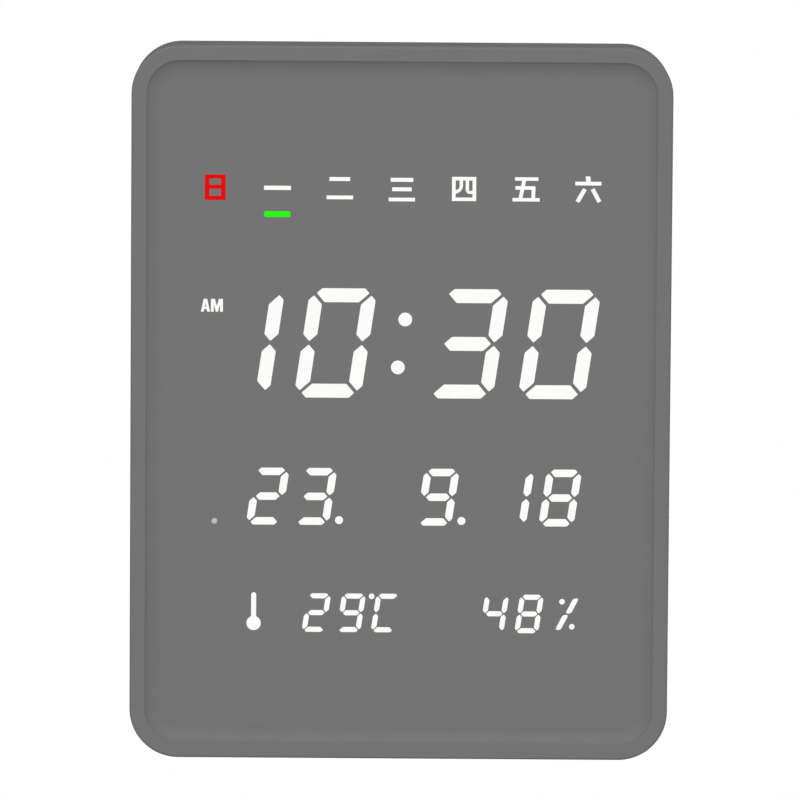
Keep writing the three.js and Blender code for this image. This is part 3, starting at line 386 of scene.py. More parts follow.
def case_outline(inset):
    width, height = bezel.width - 2 * inset, bezel.height - 2 * inset
    return rounded_box(0, 0, width, height, CORNER_RADIUS - inset, CORNER_STEPS)


def eased(points, *reaches):
    """The outline with each corner rounded, starting at its reach from the corner; reaches repeat in turn."""
    corners = [Vector(point) for point in points]
    smooth = []
    for index, corner in enumerate(corners):
        reach = reaches[index % len(reaches)]
        ends = []
        for neighbour in (corners[index - 1], corners[(index + 1) % len(corners)]):
            side = neighbour - corner
            ends.append(corner + side * min(reach / side.length, EASING_LIMIT))
        for step in range(FILLET_STEPS + 1):
            share = step / FILLET_STEPS
            first, second = ends[0].lerp(corner, share), corner.lerp(ends[1], share)
            smooth.append(tuple(first.lerp(second, share)))
    return smooth


def bulb(x, y, head, stem, rise):
    """A round head whose narrower stem rises to a round end; head and stem are radii."""
    neck = math.acos(stem / head)
    head_arc = arc(x, y, head, math.pi - neck, 2 * math.pi + neck, ROUND_SIDES)
    return head_arc + arc(x, y + rise, stem, 0, math.pi, ROUND_SIDES // 2)


def grown_box(x, y, width, height, radius, steps=FILLET_STEPS):
    """A rounded box that can be drawn grown on all sides."""
    return lambda grow: rounded_box(x, y, width + 2 * grow, height + 2 * grow, radius + grow, steps)


def grown_circle(x, y, diameter):
    return lambda grow: circle(x, y, diameter + 2 * grow)


def grown_keyhole(x):
    head, slot = KEYHOLE_HEAD / 2, KEYHOLE_SLOT / 2
    return lambda grow: bulb(x, KEYHOLE_Y, head + grow, slot + grow, KEYHOLE_RISE)


# Solids from outlines
def mesh_of(points, faces):
    mesh = bpy.data.meshes.new("shape")
    mesh.from_pydata(points, [], faces)
    return mesh


def skin(rings, closed=False):
    """Quads between neighbouring rings; the first and last ring are capped unless the section closes."""
    around, count = len(rings[0]), len(rings)
    faces = []
    for ring in range(count if closed else count - 1):
        here, above = ring * around, (ring + 1) % count * around
        for place in range(around):
            after = (place + 1) % around
            faces.append((here + place, here + after, above + after, above + place))
    if not closed:
        faces.append(tuple(reversed(range(around))))
        faces.append(tuple(range((count - 1) * around, count * around)))
    return mesh_of([point for ring in rings for point in ring], faces)


def at_level(outline, z):
    return [(x, y, z) for x, y in outline]


def prism(outline, back, front):
    return skin([at_level(outline, back), at_level(outline, front)])


def moulded(outline, profile, closed=False):
    """A solid whose outline follows a profile of growths and levels."""
    return skin([at_level(outline(grow), z) for grow, z in profile], closed)


def turned(profile, x=0, y=0, sides=ROUND_SIDES):
    """A solid of revolution about the z axis through x, y, from a profile of radii and levels."""
    return skin([at_level(circle(x, y, 2 * radius, sides), z) for radius, z in profile])


def rod(diameter, half):
    return turned([(diameter / 2, -half), (diameter / 2, half)])


def barrel(radius, half, chamfer):
    """A turned rod with chamfered ends."""
    ends = [(radius - chamfer, -half), (radius, chamfer - half)]
    return turned(ends + [(r, -z) for r, z in reversed(ends)])


def across(mesh, x, y, z):
    """A turned solid laid along x, with its middle at the place given."""
    mesh.transform(Matrix.Translation((x, y, z)) @ Matrix.Rotation(math.pi / 2, 4, "Y"))
    return mesh


def upward(mesh, y):
    """A turned solid stood on the power inlet's axis, starting at the height given."""
    middle = (jack.back + jack.front) / 2
    mesh.transform(Matrix.Translation((jack.x, y, middle)) @ Matrix.Rotation(-math.pi / 2, 4, "X"))
    return mesh


def fillet(x, z, reach_x, reach_z, steps=FILLET_STEPS):
    """The round at a profile's corner x, z, from the flat at that level on to the upright side."""
    return [(x + reach_x * (1 - math.sin(a)), z + reach_z * (1 - math.cos(a))) for a in quarter(steps)]


def rounded_plate(outline, back, front, back_edge, front_edge):
    """A plate with round edges."""
    profile = fillet(0, back, -back_edge, back_edge) + fillet(0, front, -front_edge, -front_edge)[::-1]
    return moulded(outline, profile)


def sunk(outline, depth, mouth, floor=0):
    """A cutter sunk from the back, with a round mouth and, for a blind pocket, a round floor."""
    foot = fillet(0, depth, -floor, -floor)[::-1] if floor else [(0, depth)]
    return moulded(outline, [(mouth, -BITE), *fillet(0, 0, mouth, mouth), *foot])


def post(screw, diameter, back, front):
    """A round post at a screw's place, or the cutter for its hole."""
    return prism(circle(screw.x, screw.y, diameter), back, front)


def combined(operation, base, tools):
    """The base mesh joined with, or cut by, the tools, if there are any."""
    if not tools:
        return base
    group = bpy.data.collections.new("tools")
    for tool in tools:
        group.objects.link(bpy.data.objects.new("tool", tool))
    work = bpy.data.objects.new("work", base)
    scene.collection.objects.link(work)
    step = work.modifiers.new("step", "BOOLEAN")
    step.operation = operation
    step.operand_type = "COLLECTION"
    step.collection = group
    step.solver = "MANIFOLD"
    result = bpy.data.meshes.new_from_object(work.evaluated_get(bpy.context.evaluated_depsgraph_get()))
    for used in [work, *group.objects]:
        bpy.data.objects.remove(used)
    bpy.data.collections.remove(group)
    return result


def joined(base, *tools):
    return combined("UNION", base, tools)


def cut(base, *tools):
    return combined("DIFFERENCE", base, tools)


def plate(loops, back, front):
    """A flat plate of the first outline, with the others as holes."""
    holes = [prism(loop, back - BITE, front + BITE) for loop in loops[1:]]
    return cut(prism(loops[0], back, front), *holes)


def gathered(meshes):
    """One mesh of several that stand apart."""
    points, faces = [], []
    for mesh in meshes:
        start = len(points)
        points += [tuple(vertex.co) for vertex in mesh.vertices]
        faces += [tuple(start + corner for corner in face.vertices) for face in mesh.polygons]
    return mesh_of(points, faces)


# Materials: sizes and heights are in millimetres
PATTERN_RANGE = (0.3, 0.7)  # where most values of a noise pattern lie
MOTTLE_SPREAD = 40  # size of the mottling and of the gloss patches, in grains
GLOSS_SPREAD = 25
GLOSS_REACH = 0.04
BRUSH_WIDTH = 0.3
BRUSH_STRETCH = (12, 1, 1)
BRUSH_SHADES = (0.86, 1.08)
BRUSH_GLOSS = (-0.07, 0.09)
BRUSH_HEIGHT = 0.01
LAMP_PATCH = 2.5
LAMP_SHADE = 0.985
TRACK_PITCH = 9
TRACK_SHARE = 0.035
TRACK_HEIGHT = 0.03
RESIST_SHADE = 0.8
RESIST_PATCH = 6
RESIST_GLOSS = (0.3, 0.42)
FLAT_WEIGHT = 100


def set_inputs(owner, node, inputs):
    """Gives each of a node's inputs its value, or links it to the output given."""
    for name, given in inputs.items():
        if isinstance(given, bpy.types.NodeSocket):
            owner.node_tree.links.new(given, node.inputs[name])
        else:
            node.inputs[name].default_value = given


def add_node(owner, kind, inputs=None):
    node = owner.node_tree.nodes.new(f"ShaderNode{kind}")
    set_inputs(owner, node, inputs or {})
    return node


def set_shader(made, inputs):
    set_inputs(made, made.node_tree.nodes["Principled BSDF"], inputs)


def principled(name, inputs):
    made = bpy.data.materials.new(name)
    made.use_nodes = True
    set_shader(made, inputs)
    return made


def noise(made, size, detail=2, stretch=(1, 1, 1)):
    """A noise pattern fixed to the piece, with blotches of about that size."""
    place = add_node(made, "TexCoord").outputs["Object"]
    scale = [1 / (size * MM * part) for part in stretch]
    spread = add_node(made, "Mapping", {"Vector": place, "Scale": scale}).outputs["Vector"]
    return add_node(made, "TexNoise", {"Vector": spread, "Scale": 1, "Detail": detail}).outputs["Fac"]


def mapped(owner, value, start, end, low, high):
    """A value that runs from start to end, spread from low to high."""
    ends = {"From Min": start, "From Max": end, "To Min": low, "To Max": high}
    return add_node(owner, "MapRange", {"Value": value, **ends}).outputs["Result"]


def tinted(made, pattern, dark, light, socket="Base Color"):
    """Colour that runs from dark to light over the pattern's range."""
    ramp = add_node(made, "ValToRGB", {"Fac": pattern})
    for stop, position, color in zip(ramp.color_ramp.elements, PATTERN_RANGE, (dark, light)):
        stop.position = position
        stop.color = (*color, 1)
    set_shader(made, {socket: ramp.outputs["Color"]})


def uneven(made, pattern, low, high):
    """Roughness that runs from low to high over the pattern's range."""
    set_shader(made, {"Roughness": mapped(made, pattern, *PATTERN_RANGE, low, high)})


def relief(made, pattern, height):
    """Bump whose peaks stand that high."""
    bump = add_node(made, "Bump", {"Strength": 1, "Distance": height * MM, "Height": pattern})
    set_shader(made, {"Normal": bump.outputs["Normal"]})


def shade(color, factor):
    return tuple(part * factor for part in color)


def grained(name, color, roughness, grain, height, mottle=0.03, specular=0.5):
    """Moulded plastic or rubber: fine grain, faint mottling and uneven gloss."""
    made = principled(name, {"Specular IOR Level": specular})
    mottling = noise(made, MOTTLE_SPREAD * grain, 3)
    tinted(made, mottling, shade(color, 1 - mottle), shade(color, 1 + mottle))
    uneven(made, noise(made, GLOSS_SPREAD * grain), roughness - GLOSS_REACH, roughness + GLOSS_REACH)
    relief(made, noise(made, grain), height)
    return made


def metal(name, color, roughness):
    """Plated sheet with a brushed run along its length."""
    made = principled(name, {"Metallic": 1})
    run = noise(made, BRUSH_WIDTH, 4, BRUSH_STRETCH)
    tinted(made, run, *(shade(color, factor) for factor in BRUSH_SHADES))
    uneven(made, run, *(roughness + change for change in BRUSH_GLOSS))
    relief(made, run, BRUSH_HEIGHT)
    return made


def lit(name, color):
    """A lamp's diffuser seen through the film: a steady glow with the faint unevenness of milky plastic."""
    dark = {"Base Color": (0, 0, 0, 1), "Specular IOR Level": 0, "Emission Strength": 1}
    made = principled(name, dark)
    tinted(made, noise(made, LAMP_PATCH), shade(color, LAMP_SHADE), color, "Emission Color")
    return made


def circuit_board(name, resist, track):
    """Solder resist over a net of copper tracks."""
    made = principled(name, {"Specular IOR Level": 0.5})
    place = add_node(made, "TexCoord").outputs["Object"]
    flat = add_node(made, "Mapping", {"Vector": place, "Rotation": (math.pi / 2, 0, 0)})
    net = add_node(made, "TexBrick", {
        "Vector": flat.outputs["Vector"],
        "Scale": 1 / (TRACK_PITCH * MM),
        "Mortar Size": TRACK_SHARE,
        "Color1": (*resist, 1),
        "Color2": (*shade(resist, RESIST_SHADE), 1),
        "Mortar": (*track, 1),
    })
    set_shader(made, {"Base Color": net.outputs["Color"]})
    uneven(made, noise(made, RESIST_PATCH), *RESIST_GLOSS)
    relief(made, net.outputs["Fac"], TRACK_HEIGHT)
    return made


# For each plastic: colour, roughness, size and height of its grain, then its mottling and specular level
CASE_GREY = (0.1691, 0.1656, 0.1673)
case_plastic = grained("case_plastic", CASE_GREY, 0.58, 0.35, 0.02, 0.015, 0.35)
film_plastic = grained("film_plastic", CASE_GREY, 0.55, 0.3, 0.008, 0.012, 0.35)
back_plastic = grained("back_plastic", CASE_GREY, 0.62, 0.45, 0.04, 0.018, 0.35)
button_plastic = grained("button_plastic", (0.075, 0.075, 0.078), 0.55, 0.3, 0.02)
black_plastic = grained("black_plastic", (0.014, 0.014, 0.015), 0.45, 0.3, 0.02, 0.06)
white_plastic = grained("white_plastic", (0.72, 0.7, 0.65), 0.5, 0.4, 0.02)
lamp_plastic = grained("lamp_plastic", (0.8, 0.79, 0.76), 0.35, 0.8, 0.01)
foam_tape = grained("foam_tape", (0.022, 0.022, 0.024), 0.92, 0.5, 0.12, 0.1)
pad_rubber = grained("pad_rubber", (0.02, 0.02, 0.02), 0.85, 0.4, 0.05, 0.1)
clear_plastic = grained("clear_plastic", (0.52, 0.52, 0.52), 0.2, 0.6, 0.005, specular=1)
steel = metal("steel", (0.5, 0.51, 0.52), 0.3)
board_resin = circuit_board("board_resin", (0.012, 0.09, 0.036), (0.03, 0.16, 0.06))
lit_white = lit("lit_white", (0.985, 0.977, 0.955))
lit_red = lit("lit_red", (0.78, 0.005, 0.006))
lit_green = lit("lit_green", (0.022, 0.93, 0.006))


def add_piece(name, mesh, material, body="case", replaces=(), sharp=SMOOTH_ANGLE):
    """Stands a finished mesh upright in the frame, shades it and hands it to its body."""
    mesh.transform(STAND_UP)
    mesh.shade_smooth()
    mesh.set_sharp_from_angle(angle=math.radians(sharp))
    mesh.materials.clear()
    mesh.materials.append(material)
    piece = bpy.data.objects.new(name, mesh)
    scene.collection.objects.link(piece)
    flats = piece.modifiers.new("flat_faces", "WEIGHTED_NORMAL")
    flats.mode = "FACE_AREA"
    flats.weight = FLAT_WEIGHT
    flats.keep_sharp = True
    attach(piece, body)
    if replaces:
        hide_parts(*replaces)


# Case front: round outer edge, flat rim, hollow cove down to the face, lip and screw bosses
def case_front():
    seam_edge = fillet(0, seam, SEAM_EDGE_RADIUS, SEAM_EDGE_RADIUS)
    rim_edge = fillet(0, bezel.front, RIM_EDGE_RADIUS, -RIM_EDGE_RADIUS, EDGE_STEPS)[::-1]
    inner_edge = fillet(RIM_WIDTH, bezel.front, -RIM_INNER_RADIUS, -RIM_INNER_RADIUS)
    start, sweep = RIM_WIDTH + STEP_DRAFT, COVE_WIDTH - STEP_DRAFT
    cove = [
        (start + sweep * share, face + (COVE_DEPTH - COVE_STEP) * (1 - share) ** 2)
        for share in (step / COVE_STEPS for step in range(COVE_STEPS + 1))
    ]
    inside = [
        (opening_inset, face),
        (opening_inset, lip_back),
        (WALL, lip_back),
        (WALL, seam + LAP),
        (lap_skin, seam + LAP),
        (lap_skin, seam),
    ]
    ring = moulded(case_outline, seam_edge + rim_edge + inner_edge + cove + inside, closed=True)
    case_end = cover_top + GAP
    display_end = span("display_board").front + GAP
    ends = [(screw, case_end) for screw in case_screws] + [(screw, display_end) for screw in display_screws]
    bosses = [post(screw, BOSS_DIAMETER, end, lip_back + BITE) for screw, end in ends]
    pilots = [post(screw, SCREW_HOLE, end - BITE, screw.front + GAP) for screw, end in ends]
    mesh = cut(joined(ring, *bosses), *pilots)
    add_piece("case_front", mesh, case_plastic, replaces=["front_bezel"])


# Film over the face, thinning out on the cove's flat foot
def face_film():
    edge = opening_inset - FACE_MARGIN / 2
    section = [
        (edge, face + FILM_EDGE),
        (edge, face + 2 * FILM_EDGE),
        (edge + FILM_TAPER / 2, film_front - 2 * FILM_EDGE),
        (edge + FILM_TAPER, film_front),
    ]
    add_piece("face_film", moulded(case_outline, section), film_plastic)


# Lit signs
def stroke_outlines(digit):
    """Strokes of an upright digit about its middle, by letter: the top one, on round, then the middle bar."""
    width, height, stroke, gap, chamfer, _ = digit
    a, b = width / 2, height / 2
    corner = gap / math.sqrt(2)
    spine = a - stroke / 2
    waist = (stroke + gap) / 2
    end = spine - gap * math.sqrt(2) + gap / 2
    top_right = [
        (a - stroke - corner, b - stroke),
        (a - (chamfer + corner) / 2, b - (chamfer - corner) / 2),
        (a - chamfer, b),
    ]
    upper_right = [
        (spine, gap / 2),
        (a, waist),
        (a, b - chamfer),
        (a - (chamfer - corner) / 2, b - (chamfer + corner) / 2),
        (a - stroke, b - stroke - corner),
        (a - stroke, waist),
    ]
    half_bar = [(end - stroke / 2, -stroke / 2), (end, 0), (end - stroke / 2, stroke / 2)]
    top = top_right + mirrored(top_right)
    lower_right = flipped(upper_right)
    return {
        "a": top,
        "b": upper_right,
        "c": lower_right,
        "d": flipped(top),
        "e": mirrored(lower_right),
        "f": mirrored(upper_right),
        "g": half_bar + mirrored(half_bar),
    }


def sign(outline):
    return prism(outline, *sign_levels)


def leaning(x, y):
    return x + SLANT * y, y


def digit_signs(digit, character, x, y):
    strokes = stroke_outlines(digit)
    signs = []
    for letter in LIT_STROKES[character]:
        outline = [leaning(px, py) for px, py in strokes[letter]]
        signs.append(sign(eased(moved(outline, x, y), digit.easing)))
    return signs


def digit_inset(block, digit):
    """From a leaning display block's side in to the middle of the digit beside it."""
    border = (block.height - digit.height) / 2
    return digit.width / 2 + border + SLANT * block.height / 2


def block_signs(node, digit, shown):
    """The characters shown in a display block, each with its distance from the block's first digit."""
    block = span(node)
    first = block.left + digit_inset(block, digit)
    return [stroke for character, x in shown for stroke in digit_signs(digit, character, first + x, block.y)]


def block_dot(node, digit, place, diameter):
    """A round dot in a display block, placed from the block's first digit."""
    block = span(node)
    x, y = place
    return sign(circle(block.left + digit_inset(block, digit) + x, block.y + y, diameter))


def add_sign(name, signs, material=lit_white):
    add_piece(name, gathered(signs), material)


def slanted_bar(x, y):
    rise, run, side = PERCENT_BAR_HEIGHT / 2, PERCENT_BAR_RUN / 2, PERCENT_BAR_WIDTH / 2
    low, high = y - rise, y + rise
    corners = [(x - run - side, low), (x - run + side, low), (x + run + side, high), (x + run - side, high)]
    return sign(eased(corners, PERCENT_BAR_WIDTH / 2))


def percent_sign():
    block = span("humidity_digits")
    x, y = block.left + digit_inset(block, CLIMATE_DIGIT) + PERCENT_X, block.y
    (dot_x, dot_y), (bar_x, bar_y) = PERCENT_DOT_PLACE, PERCENT_BAR_PLACE
    dots = [sign(circle(x + side * dot_x, y + side * dot_y, UNIT_DOT)) for side in (1, -1)]
    return dots + [slanted_bar(x + side * bar_x, y + side * bar_y) for side in (1, -1)]


def thermometer():
    block = span("thermometer_lamp")
    head, stem = THERMOMETER_BULB / 2, THERMOMETER_STEM / 2
    y = block.y + THERMOMETER_RISE - THERMOMETER_HEIGHT / 2 + head
    return sign(bulb(block.x, y, head, stem, THERMOMETER_HEIGHT - head - stem))


def fused_sign(x, y, outlines):
    """A sign whose strokes cross, as one solid."""
    return joined(*[sign(moved(outline, x, y)) for outline in outlines])


def time_signs():
    tens = span("hours_tens_digit")
    hours = digit_signs(TIME_DIGIT, "1", tens.right - digit_inset(tens, TIME_DIGIT), tens.y)
    add_sign("lit_hours", hours + block_signs("hours_ones_digit", TIME_DIGIT, [("0", 0)]))
    minutes = block_signs("minutes_tens_digit", TIME_DIGIT, [("3", 0)])
    add_sign("lit_minutes", minutes + block_signs("minutes_ones_digit", TIME_DIGIT, [("0", 0)]))
    colon = span("colon_lamp")
    dots = [leaning(0, side * COLON_SPACING / 2) for side in (1, -1)]
    add_sign("lit_colon", [sign(circle(colon.x + x, colon.y + y, COLON_DOT)) for x, y in dots])


def date_signs():
    dot_x, dot_y = leaning(
        DATE_PITCH + DATE_DIGIT.width / 2 + DATE_DOT_SPACE, DATE_DOT_RISE - DATE_DIGIT.height / 2
    )
    shown = {
        "year": [("2", 0), ("3", DATE_PITCH)],
        "month": [("9", DATE_PITCH)],
        "day": [("1", 0), ("8", DATE_PITCH)],
    }
    for name, characters in shown.items():
        node = f"{name}_digits"
        signs = block_signs(node, DATE_DIGIT, characters)
        if name != "day":
            signs.append(block_dot(node, DATE_DIGIT, (dot_x, dot_y), DATE_DOT))
        add_sign(f"lit_{name}", signs)


def climate_signs():
    celsius = [("2", 0), ("9", CLIMATE_PITCH), ("C", CLIMATE_PITCH + UNIT_PITCH)]
    temperature = block_signs("temperature_digits", CLIMATE_DIGIT, celsius)
    degree = block_dot("temperature_digits", CLIMATE_DIGIT, DEGREE_PLACE, UNIT_DOT)
    add_sign("lit_temperature", [*temperature, degree])
    humidity = block_signs("humidity_digits", CLIMATE_DIGIT, [("4", 0), ("8", CLIMATE_PITCH)])
    add_sign("lit_humidity", humidity + percent_sign())
    add_sign("lit_thermometer", [thermometer()])


# Weekday signs: the plain numerals one to six and the sign for Sunday, as strokes about each sign's middle
SUNDAY_STROKES = [
    bar(-4.2, -2.3, -5.1, 5.3),
    bar(2.4, 4.3, -5.1, 5.3),
    bar(-4.2, 4.3, 3.6, 5.3),
    bar(-4.2, 4.3, -0.55, 1.15),
    bar(-4.2, 4.3, -5.1, -3.4),
]
NUMERAL_STROKES = [
    [bar(-5.44, 5.5, -0.83, 0.87)],
    [bar(-4.14, 4.26, 2.99, 4.58), bar(-5.3, 5.48, -4.46, -2.94)],
    [bar(-4.56, 4.6, 2.83, 4.43), bar(-3.95, 4, -1, 0.56), bar(-5.34, 5.38, -5.15, -3.66)],
    [
        bar(-4.93, -3.45, -4.85, 5),
        bar(3.43, 4.91, -4.85, 5),
        bar(-4.93, 4.91, 3.55, 5),
        bar(-4.93, 4.91, -4.85, -3.42),
        [
            (-1.84, 3.9), (-1.84, 1), (-2.25, 0.05), (-3.6, -0.6), (-3.6, -1.95),
            (-2.4, -1.55), (-1.35, -0.75), (-0.6, 0.5), (-0.46, 1.3), (-0.46, 3.9),
        ],
        [
            (0.62, 3.9), (0.62, -0.3), (1, -1.3), (1.9, -1.9), (3.6, -1.9),
            (3.6, -0.67), (2.2, -0.67), (1.98, -0.4), (1.98, 3.9),
        ],
    ],
    [
        bar(-4.65, 4.85, 3.6, 5),
        bar(-4.45, 3.62, -0.05, 1.4),
        bar(-5.6, 5.45, -4.85, -3.45),
        [(-3.22, -4.2), (-1.71, -4.2), (-0.03, 4.2), (-1.6, 4.2)],
        [(2.04, -4.2), (3.54, -4.2), (3.76, 0.9), (2.22, 0.9)],
    ],
    [
        bar(-5.4, 5.2, 1.85, 3.37),
        [(-0.95, 2.4), (0.95, 2.4), (0.65, 5.53), (-1.2, 5.53)],
        [(-5.25, -4.45), (-3.8, -5.3), (-0.75, -0.05), (-2.2, 0.82)],
        [(3.75, -5.25), (5.2, -4.45), (2.35, 0.8), (0.9, 0)],
    ],
]
LETTER_A = [(0, 0), (1.14, 0), (1.42, 1.1), (2.32, 1.1), (2.6, 0), (3.74, 0), (2.55, 5.27), (1.17, 5.27)]
LETTER_A_HOLE = [(1.58, 2), (2.16, 2), (1.87, 3.85)]
LETTER_M = [
    (4.08, 0), (5.24, 0), (5.24, 3.2), (6.1, 0), (6.95, 0), (7.81, 3.2), (7.81, 0),
    (8.97, 0), (8.97, 5.27), (7.35, 5.27), (6.52, 2.35), (5.7, 5.27), (4.08, 5.27),
]


def weekday_signs():
    lamps = span("weekday_lamps")
    y = lamps.high - WEEKDAY_TOP
    first = lamps.x - len(NUMERAL_STROKES) / 2 * WEEKDAY_PITCH
    add_sign("lit_sunday", [fused_sign(first, y, SUNDAY_STROKES)], lit_red)
    weekdays = [
        fused_sign(first + day * WEEKDAY_PITCH, y, strokes) for day, strokes in enumerate(NUMERAL_STROKES, 1)
    ]
    add_sign("lit_weekdays", weekdays)
    shown = first + WEEKDAY_PITCH
    marker = rounded_box(shown, y - MARKER_DROP, MARKER_WIDTH, MARKER_HEIGHT, MARKER_HEIGHT / 3)
    add_sign("lit_marker", [sign(marker)], lit_green)


def am_sign():
    lamp = span("am_pm_lamp")
    left, low = lamp.x - AM_WIDTH / 2, lamp.y + AM_RISE - AM_HEIGHT / 2
    letter_a = plate([moved(loop, left, low) for loop in (LETTER_A, LETTER_A_HOLE)], *sign_levels)
    add_sign("lit_am", [letter_a, sign(moved(LETTER_M, left, low))])


def sensor_lens():
    """Small clear dome over the light sensor, in a thin flat rim."""
    sensor = span("light_sensor")
    radius, inner = LENS_DIAMETER / 2, LENS_DIAMETER / 2 - LENS_RIM
    rim = film_front + SIGN_RISE
    swell = LENS_RISE - SIGN_RISE
    dome = [(inner * math.cos(a), rim + swell * math.sin(a)) for a in quarter(2 * EDGE_STEPS)[:-1]]
    profile = [(radius, film_front - SIGN_RISE), (radius, rim), *dome]
    add_piece("sensor_lens", turned(profile, sensor.x, sensor.y), clear_plastic)


# Case back
def pocket_outlines(grow):
    """Stand pocket, open at the foot of the case, and the finger scoop beside it."""
    half = leg.right + LEG_SIDE_GAP
    foot = bezel.low + WALL - BITE
    top = leg.high + LEG_SIDE_GAP
    scoop_low = bezel.low + SCOOP_RISE
    return [
        bar(-half - grow, half + grow, foot, top + grow),
        bar(-half - SCOOP_WIDTH - grow, BITE - half, scoop_low - grow, scoop_low + SCOOP_HEIGHT + grow),
    ]


door_opening = grown_box(cell.x, cell.y, DOOR_WIDTH + 2 * GAP, door.height + 2 * GAP, DOOR_OPENING_CORNER)
recess_width = BUTTON_DIAMETER + 2 * BUTTON_RECESS_BORDER
button_recess = grown_box(
    buttons["set"].x,
    (buttons["set"].y + buttons["alarm"].y) / 2,
    recess_width,
    buttons["set"].y - buttons["alarm"].y + recess_width,
    BUTTON_RECESS_BORDER,
    2 * FILLET_STEPS,
)


def back_tray():
    back_edge = fillet(0, 0, BACK_EDGE_RADIUS, BACK_EDGE_RADIUS, EDGE_STEPS)
    top_edge = fillet(0, cover_top, SEAM_EDGE_RADIUS, -SEAM_EDGE_RADIUS)[::-1]
    tongue = lap_skin + GAP
    inside = [(tongue, cover_top), (tongue, cover.front), (WALL, cover.front), (WALL, BACK_PLATE)]
    tray = moulded(case_outline, back_edge + top_edge + inside)
    footing = BACK_PLATE - BITE
    pocket_floor = leg.front + LEG_SIDE_GAP + POCKET_FLOOR
    seat = min(span("battery_holder").front, span("buzzer").front)
    inner = [post(screw, SCREW_TUBE, footing, cover_top) for screw in case_screws]
    inner += [post(screw, STANDOFF_DIAMETER, footing, seat) for screw in board_screws]
    inner += [prism(outline, footing, pocket_floor) for outline in pocket_outlines(POCKET_WALL)]
    inner.append(prism(button_recess(BUTTON_FLOOR), footing, BUTTON_RECESS + BUTTON_FLOOR))
    inner.append(prism(door_opening(DOOR_FRAME), footing, BACK_PLATE + DOOR_FRAME_HEIGHT))
    return joined(tray, *inner)


def hole(x, y, diameter, depth):
    return sunk(grown_circle(x, y, diameter), depth, HOLE_MOUTH)


def stand_cuts():
    half, top = leg.right + LEG_SIDE_GAP, leg.high + LEG_SIDE_GAP
    foot = bezel.low - RUN_OUT
    depth = leg.front + LEG_SIDE_GAP
    scoop_y = bezel.low + SCOOP_RISE + SCOOP_HEIGHT / 2
    bay = grown_box(0, (foot + top) / 2, 2 * half, top - foot, POCKET_CORNER)
    scoop = grown_box(-half, scoop_y, 2 * SCOOP_WIDTH, SCOOP_HEIGHT, SCOOP_WIDTH / 2, 2 * FILLET_STEPS)
    return [
        sunk(bay, depth, POCKET_MOUTH),
        sunk(scoop, depth, SCOOP_MOUTH),
        across(rod(PIN_HOLE, half + POCKET_WALL + BITE), 0, leg_axis_y, leg_axis_z),
    ]


def door_cuts():
    through = BACK_PLATE + DOOR_FRAME_HEIGHT + BITE
    socket = rod(DOOR_TRUNNION + 2 * GAP, door.width / 2 + GAP)
    notch = grown_circle(cell.x, door.high, THUMB_NOTCH)
    return [
        sunk(door_opening, through, HOLE_MOUTH),
        across(socket, cell.x, door_axis_y, door_axis_z),
        sunk(notch, THUMB_NOTCH_DEPTH, HOLE_MOUTH, THUMB_NOTCH_FLOOR),
    ]


def back_holes():
    depth = BACK_PLATE + BITE
    buzzer, climate = span("buzzer"), span("climate_sensor")
    outlines = [grown_keyhole(-KEYHOLE_X), grown_keyhole(KEYHOLE_X)]
    for slot in range(VENTS):
        y = climate.y + (slot - (VENTS - 1) / 2) * VENT_PITCH
        outlines.append(grown_box(climate.x, y, VENT_LENGTH, VENT_WIDTH, VENT_CORNER, 2 * FILLET_STEPS))
    sound_places = arc(buzzer.x, buzzer.y, SOUND_HOLE_RADIUS, 0, 2 * math.pi, SOUND_HOLES)
    sound_places[0] = (buzzer.x, buzzer.y)
    holes = [sunk(outline, depth, HOLE_MOUTH) for outline in outlines]
    return holes + [hole(x, y, SOUND_HOLE, depth) for x, y in sound_places]


def back_cuts():
    cuts = []
    for screw in case_screws:
        cuts.append(hole(screw.x, screw.y, SCREW_HEAD_DIAMETER + 2 * GAP, SCREW_SEAT))
        cuts.append(post(screw, SCREW_HOLE, SCREW_SEAT - BITE, cover_top + BITE))
    cuts += [post(screw, BOARD_SCREW_HOLE, BACK_PLATE, screw.front) for screw in board_screws]
    cuts.append(sunk(button_recess, BUTTON_RECESS, RECESS_EDGE, RECESS_EDGE))
    for button in buttons.values():
        well = hole(button.x, button.y, BUTTON_DIAMETER + 2 * GAP, BUTTON_FLOOR + BITE)
        well.transform(Matrix.Translation((0, 0, BUTTON_RECESS)))
        cuts.append(well)
    label = grown_box(*LABEL_PLACE, *LABEL_SIZE, LABEL_CORNER)
    cuts.append(sunk(label, LABEL_DEPTH, LABEL_EDGE, LABEL_EDGE))
    inlet = JACK_SNOUT / 2 + GAP
    flared = turned([(inlet + INLET_FLARE, -INLET_FLARE), (inlet, INLET_FLARE / 2), (inlet, 2 * WALL)])
    cuts.append(upward(flared, bezel.low))
    return cuts


def case_back():
    mesh = cut(back_tray(), *stand_cuts(), *door_cuts(), *back_holes(), *back_cuts())
    add_piece("case_back", mesh, back_plastic, replaces=["rear_cover"], sharp=CRISP_ANGLE)


# Rear buttons: round caps with a finger dish on a flange and a post, and a light mark in each dish
def mark_outlines(name):
    """Outlines of a button's mark about its middle; a second outline in a list is a hole."""
    dome = arc(0, BELL_RISE, BELL_RADIUS, 0, math.pi, ROUND_SIDES // 2)
    marks = {
        "set": [[circle(0, 0, RING_DIAMETER), circle(0, 0, RING_HOLE)], [circle(0, 0, RING_DOT)]],
        "up": [[eased(ARROW, ARROW_EASING)]],
        "down": [[eased(flipped(ARROW), ARROW_EASING)]],
        "alarm": [[BELL_SIDE + dome + mirrored(BELL_SIDE)], [circle(0, -CLAPPER_DROP, CLAPPER)]],
    }
    return marks[name]


